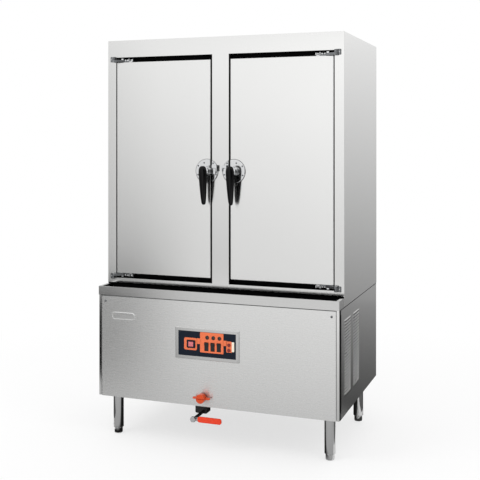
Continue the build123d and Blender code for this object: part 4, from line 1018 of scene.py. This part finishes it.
class CABINET_OT_water_fittings(bpy.types.Operator):
    """Rounds the knob, the drain valve's pieces and the cable gland, and adds the inlet's thread."""

    bl_idname = "cabinet.water_fittings"
    bl_label = "Water fittings"

    def execute(self, context):
        # Each node's body, its slot, the rounding of its edges in millimetres and the steps of the rounding
        for node, body, slot, edge, steps in (
            ("inlet_knob", "inlet_knob", "knob_orange", 1.1, 3),
            ("drain_valve_body", "cabinet", "black_moulding", 0.9, 2),
            ("drain_spindle", "drain_lever", "black_moulding", 0.5, 2),
            ("drain_nut", "drain_lever", "bright_tube", 1.6, 2),
            ("drain_lever_bar", "drain_lever", "bright_tube", 0.5, 2),
            ("drain_lever_sleeve", "drain_lever", "sleeve_orange", 1.8, 3),
            ("cable_gland", "cabinet", "black_moulding", 0.6, 2),
        ):
            material = "chromed_casting" if node == "drain_nut" else None
            rounded_node(node, f"{node}_finished", body, slot, edge * MM, steps, 30.0, material)

        low, high = box_of("water_pipes")
        radius = (high.x - low.x) / 2
        root, crest = radius / MM - 0.3, radius / MM + 0.4
        pitch, turns, length = 1.8, 15, 27
        rings = []
        for number in range(turns):
            rings += [(number * pitch, root), ((number + 0.5) * pitch, crest)]
        rings.append((length, root))
        start_y = high.y - 29 * MM
        place = ((low.x + high.x) / 2, start_y, low.z + radius)
        thread = turned("inlet_thread", rings, place, TOWARDS_BACK)
        shade(thread, 20.0)
        place_piece(thread, "cabinet", "bright_tube")
        return {"FINISHED"}


# Control panel


class CABINET_OT_control_panel(bpy.types.Operator):
    """Models the overlay's coloured blocks, the lamps, the buttons, the rockers and the bezel."""

    bl_idname = "cabinet.control_panel"
    bl_label = "Control panel"

    def execute(self, context):
        self.bezel()
        self.overlay()
        self.lamps()
        for node, slot in (
            ("power_button", "power_red"),
            ("rocker_1", "black_moulding"),
            ("rocker_2", "black_moulding"),
            ("rocker_3", "black_moulding"),
            ("start_button", "button_red"),
            ("stop_button", "button_red"),
        ):
            rounded_node(node, f"{node}_moulded", node, slot, sizes().moulded_edge, 3, 25.0)
        return {"FINISHED"}

    def at(self, across, down, out=0.0):
        """A place on the overlay, in millimetres from its upper left corner, and metres out of its face."""
        low, high = box_of("control_fascia")
        # The surround of the power button stands this far in front of the overlay
        surround_rise = 3.0 * MM
        return Vector((low.x + across * MM, low.y + surround_rise - out, high.z - down * MM))

    def bezel(self):
        """The pressed bezel and the screws in its corners."""
        material = "brushed_stainless_level"
        edge = 0.5 * MM
        rounded_node("control_bezel", "bezel_pressed", "cabinet", "stainless_sheet", edge, 2, 30.0, material)
        low, high = box_of("control_bezel")
        inset = 8 * MM
        corners = [(x, z) for z in (low.z + inset, high.z - inset) for x in (low.x + inset, high.x - inset)]
        for number, (x, z) in enumerate(corners, start=1):
            piece = screw(f"bezel_screw_{number}", (x, low.y, z), TOWARDS_FRONT, 2.6 * MM)
            place_piece(piece, "cabinet", "bright_tube")

    def overlay(self):
        """The coloured blocks, with room for the buttons that stand in them."""
        rise, sunk = sizes().print_rise, 0.1 * MM
        # Each opening: its kind, its middle across and down, and its half width and half height
        openings = {
            "print_left": [("block", 64.5, 60.0, 21.4, 18.4)],
            "print_middle": [("block", across, 67.0, 10.6, 20.6) for across in (142, 173, 204)],
            "print_right": [("round", 254.0, down, 7.9, 7.9) for down in (51.0, 75.0)],
        }
        # Each block: its left and right edge across, its top and bottom edge down, its corners' radius
        blocks = (
            ("print_left", 29, 94, 31, 88, 8.0, "orange_print"),
            ("print_left_bridge", 93, 111, 31, 57, 0.5, "orange_print"),
            ("print_middle", 110, 227, 1, 95, 4.0, "orange_print"),
            ("print_right_bridge", 226, 243, 32, 56, 0.5, "orange_print"),
            ("print_right", 241, 268, 34, 85, 4.0, "orange_print"),
            ("print_bar", 268, 280, 36, 81, 1.5, "cream_print"),
        )
        for name, left, right, top, bottom, corner, material in blocks:
            block = start_block(name, self.at(left, bottom, rise), self.at(right, top, -sunk))
            round_corners(block, corner * MM, 6)
            for kind, across, down, half_x, half_z in openings.get(name, ()):
                middle = self.at(across, down)
                if kind == "block":
                    reach = Vector((half_x, 4, half_z)) * MM
                    cutter = start_block("cutter", middle - reach, middle + reach)
                else:
                    cutter = turned("cutter", ((-4, half_x), (4, half_x)), middle, TOWARDS_FRONT)
                cut(block, cutter)
            shade(block, 30.0)
            place_piece(block, "cabinet", "fascia_dark", finish=material)

    def lamps(self):
        """The three lenses and the rings that hold them."""
        drop = 24.5
        lens_rings = ((-0.5, 7.4), (1.8, 7.4), (2.5, 6.2), (2.9, 3.8), (3.0, 1.0))
        holder_rings = ((0.0, 9.0), (1.6, 9.0), (2.1, 8.5), (2.1, 7.6), (0.8, 7.3))
        for number, across in enumerate((146, 176.5, 207), start=1):
            middle = self.at(across, drop)
            lens = turned(f"lamp_lens_{number}", lens_rings, middle, TOWARDS_FRONT)
            shade(lens, 50.0)
            place_piece(lens, "cabinet", "lamp_dark", ["indicator_lamps"] if number == 1 else [])
            ring = turned(f"lamp_ring_{number}", holder_rings, middle, TOWARDS_FRONT)
            shade(ring, 40.0)
            place_piece(ring, "cabinet", "lamp_dark", finish="moulded_nylon")


# Stage


LEVEL = (0, 0, 0)
UPRIGHT = (90, 0, 0)
SIDEWAYS = (90, 0, 90)
EVEN = (1.0, 1.0)

# Each card's name, middle, size and turn in degrees, its grey from left to right and from its lower to its
# upper edge, and the shares of its size over which its left, right, lower and upper edges fade out
CARDS = (
    ("wall_in_front", (-1.5, -4.35, 1.3), (6.0, 2.6), UPRIGHT, (0.82, 1.4), (0.61, 1.05), (0, 0, 0, 0.1)),
    ("flag_in_front", (-3.8, -4.2, 1.3), (3.2, 2.6), UPRIGHT, (0.68, 0.72), (0.7, 1.17), (0, 0.3, 0, 0.05)),
    ("wall_behind", (1.0, 3.5, 1.4), (8.0, 2.8), UPRIGHT, EVEN, (0.32, 1.02), (0, 0, 0, 0.2)),
    ("wall_left", (-3.8, -0.4, 1.3), (8.0, 2.6), SIDEWAYS, EVEN, (0.3, 0.9), (0, 0, 0, 0.2)),
    ("wall_right", (4.2, -0.4, 1.3), (8.0, 2.6), SIDEWAYS, EVEN, (0.2, 0.85), (0, 0, 0, 0.2)),
    ("strip_right", (2.3, -4.1, 1.3), (4.2, 2.6), UPRIGHT, (0.05, 0.05), EVEN, (0.1, 0.1, 0, 0.1)),
    # The floor cards in front and behind grow darker towards the cabinet, and the card under the cabinet is
    # near black: painted shade of the cabinet's shadow on the floor, as the reflections see it
    ("floor_in_front", (-1.0, -2.37, 0.003), (8.0, 4.06), LEVEL, (1.0, 1.1), (0.98, 0.4), (0, 0, 0, 0)),
    ("floor_under", (-0.02, -0.02, 0.004), (1.14, 0.87), LEVEL, (0.012, 0.012), EVEN, (0, 0.08, 0.1, 0)),
    ("floor_beside", (1.2, 0.1, 0.003), (0.92, 0.9), LEVEL, (0.12, 0.22), EVEN, (0.02, 0.3, 0.1, 0.2)),
    ("floor_gleam", (0.665, 0.05, 0.005), (0.1, 0.7), LEVEL, (0.8, 0.8), EVEN, (0.2, 0.2, 0.05, 0.05)),
    ("floor_left", (-1.2, -0.2, 0.005), (0.9, 0.9), LEVEL, (0.1, 0.1), EVEN, (0.1, 0.02, 0.1, 0.1)),
    ("floor_behind", (0.4, 1.9, 0.002), (8.0, 3.4), LEVEL, EVEN, (0.05, 0.3), (0, 0, 0, 0)),
    ("floor_flag", (-2.69, -2.91, 0.006), (2.6, 4.67), (0, 0, -28.2), (0.0, 0.0), EVEN, (0, 0.2, 0, 0.05)),
)

# Each lamp's name, place, size in metres and power in watts
LAMPS = (
    ("key_lamp", (-2.6, -3.4, 4.2), 2.4, 70.0),
    ("fill_lamp", (3.4, -2.2, 3.6), 2.0, 30.0),
    ("rear_lamp", (0.5, 3.6, 4.0), 2.4, 30.0),
)


def card(name, centre, size, turn, across, up, fades):
    """A card that only reflections see. Its grey is the product of its two runs."""
    piece = start(
        bpy.ops.mesh.primitive_grid_add,
        name,
        x_subdivisions=4,
        y_subdivisions=4,
        size=1.0,
        location=centre,
        rotation=[math.radians(angle) for angle in turn],
        scale=(*size, 1.0),
    )
    material = bpy.data.materials.new(name)
    tree = new_tree(material)
    place = add_node(tree, "ShaderNodeTexCoord").outputs["Object"]
    parts = add_node(tree, "ShaderNodeSeparateXYZ", links={"Vector": place})
    edges = zip("XXYY", (-0.5, 0.5, -0.5, 0.5), fades)
    products = []
    for runs in (
        [("X", -0.5, 0.5, *across), ("Y", -0.5, 0.5, *up)],
        [(axis, edge, edge * (1.0 - 2.0 * fade), 0.0, 1.0) for axis, edge, fade in edges if fade],
    ):
        product = None
        for axis, low, high, first, last in runs:
            limits = {"From Min": low, "From Max": high, "To Min": first, "To Max": last}
            run = add_node(tree, "ShaderNodeMapRange", limits, {"Value": parts.outputs[axis]})
            if product:
                run = add_node(tree, "ShaderNodeMath", {"operation": "MULTIPLY"}, {0: product, 1: run})
            product = run
        products.append(product)
    grey, cover = products
    surface = add_node(tree, "ShaderNodeEmission", {"Strength": 1.0}, {"Color": grey})
    if cover:
        clear = add_node(tree, "ShaderNodeBsdfTransparent")
        surface = add_node(tree, "ShaderNodeMixShader", links={0: cover, 1: clear, 2: surface})
    add_node(tree, "ShaderNodeOutputMaterial", links={"Surface": surface})
    piece.data.materials.append(material)
    for ray in ("camera", "diffuse", "shadow", "transmission"):
        setattr(piece, f"visible_{ray}", False)


class CABINET_OT_stage(bpy.types.Operator):
    """Sets up the pale floor, the white surroundings, the lamps, the cards and the camera."""

    bl_idname = "cabinet.stage"
    bl_label = "Stage"

    def execute(self, context):
        context.scene.view_settings.view_transform = "Standard"
        self.floor()
        self.surroundings(context.scene)
        for name, place, size, power in LAMPS:
            data = bpy.data.lights.new(name, "AREA")
            data.size = size
            data.energy = power
            lamp = bpy.data.objects.new(name, data)
            context.scene.collection.objects.link(lamp)
            lamp.location = place
            lamp.visible_glossy = False
            aim = Vector((0, 0, 1.0)) - Vector(place)
            lamp.rotation_euler = aim.to_track_quat("-Z", "Y").to_euler()
        for row in CARDS:
            card(*row)
        data = bpy.data.cameras.new("camera")
        data.lens = 65.5
        data.sensor_width = 36.0
        data.shift_y = -0.21
        camera = bpy.data.objects.new("camera", data)
        context.scene.collection.objects.link(camera)
        camera.location = (1.517, -4.169, 1.447)
        camera.rotation_euler = (math.radians(90), 0, math.radians(20.2))
        context.scene.camera = camera
        return {"FINISHED"}

    def floor(self):
        """A matt floor that the camera sees turn to plain white away from the cabinet."""
        floor = start(
            bpy.ops.mesh.primitive_grid_add, "floor", x_subdivisions=4, y_subdivisions=4, size=40.0
        )
        material = bpy.data.materials.new("matt_white_floor")
        tree = new_tree(material)
        place = add_node(tree, "ShaderNodeTexCoord").outputs["Object"]
        mottle = add_node(tree, "ShaderNodeTexNoise", {"Scale": 3.0, "Detail": 2.0}, {"Vector": place})
        rub = add_node(tree, "ShaderNodeMapRange", {"To Min": 0.6, "To Max": 0.75}, {"Value": mottle})
        pale = {"Base Color": (0.93, 0.93, 0.93, 1.0), "Specular IOR Level": 0.1}
        paint = add_node(tree, "ShaderNodeBsdfPrincipled", pale, {"Roughness": rub})
        white = add_node(tree, "ShaderNodeEmission", {"Color": (1.0, 1.0, 1.0, 1.0), "Strength": 1.0})
        distance = add_node(tree, "ShaderNodeVectorMath", {"operation": "LENGTH"}, {"Vector": place})
        limits = {"From Min": 0.5, "From Max": 2.6, "To Min": 0.68, "To Max": 1.0}
        spread = add_node(tree, "ShaderNodeMapRange", limits, {"Value": distance.outputs["Value"]})
        seen = add_node(tree, "ShaderNodeLightPath").outputs["Is Camera Ray"]
        share = add_node(tree, "ShaderNodeMath", {"operation": "MULTIPLY"}, {0: seen, 1: spread})
        mixed = add_node(tree, "ShaderNodeMixShader", links={0: share, 1: paint, 2: white})
        add_node(tree, "ShaderNodeOutputMaterial", links={"Surface": mixed})
        floor.data.materials.append(material)

    def surroundings(self, scene):
        """A white world, a little dimmer as a light than where it is seen, mirrored or seen through."""
        scene.world = bpy.data.worlds.new("white_surroundings")
        tree = new_tree(scene.world)
        path = add_node(tree, "ShaderNodeLightPath")
        seen = path.outputs["Is Camera Ray"]
        for ray in ("Is Glossy Ray", "Is Transmission Ray"):
            either = {"operation": "ADD", "use_clamp": True}
            seen = add_node(tree, "ShaderNodeMath", either, {0: seen, 1: path.outputs[ray]})
        strength = add_node(tree, "ShaderNodeMapRange", {"To Min": 0.85, "To Max": 1.0}, {"Value": seen})
        white = {"Color": (1.0, 1.0, 1.0, 1.0)}
        background = add_node(tree, "ShaderNodeBackground", white, {"Strength": strength})
        add_node(tree, "ShaderNodeOutputWorld", links={"Surface": background})


class CABINET_PT_panel(bpy.types.Panel):
    """Lists the steps that build the cabinet's visible pieces."""

    bl_label = "Steamer Cabinet"
    bl_idname = "CABINET_PT_panel"
    bl_space_type = "VIEW_3D"
    bl_region_type = "UI"
    bl_category = "Cabinet"

    def draw(self, context):
        layout = self.layout
        for group in (context.scene.cabinet_sizes, context.scene.cabinet_colours):
            column = layout.column()
            for key in group.__annotations__:
                column.prop(group, key)
        for operator in OPERATORS:
            layout.operator(operator.bl_idname)


OPERATORS = (
    CABINET_OT_finishes,
    CABINET_OT_door_skins,
    CABINET_OT_grips,
    CABINET_OT_latches,
    CABINET_OT_hinges,
    CABINET_OT_sheet_work,
    CABINET_OT_louvres,
    CABINET_OT_feet,
    CABINET_OT_badge,
    CABINET_OT_panel_screws,
    CABINET_OT_water_fittings,
    CABINET_OT_control_panel,
    CABINET_OT_stage,
)
CLASSES = (CabinetSizes, CabinetColours, *OPERATORS, CABINET_PT_panel)


def register():
    for item in CLASSES:
        bpy.utils.register_class(item)
    bpy.types.Scene.cabinet_sizes = bpy.props.PointerProperty(type=CabinetSizes)
    bpy.types.Scene.cabinet_colours = bpy.props.PointerProperty(type=CabinetColours)


def unregister():
    del bpy.types.Scene.cabinet_colours
    del bpy.types.Scene.cabinet_sizes
    for item in reversed(CLASSES):
        bpy.utils.unregister_class(item)


def main():
    """Builds the visible pieces in order."""
    register()
    bpy.ops.cabinet.finishes()
    bpy.ops.cabinet.door_skins()
    bpy.ops.cabinet.grips()
    bpy.ops.cabinet.latches()
    bpy.ops.cabinet.hinges()
    bpy.ops.cabinet.sheet_work()
    bpy.ops.cabinet.louvres()
    bpy.ops.cabinet.feet()
    bpy.ops.cabinet.badge()
    bpy.ops.cabinet.panel_screws()
    bpy.ops.cabinet.water_fittings()
    bpy.ops.cabinet.control_panel()
    bpy.ops.cabinet.stage()


if __name__ == "__main__":
    main()
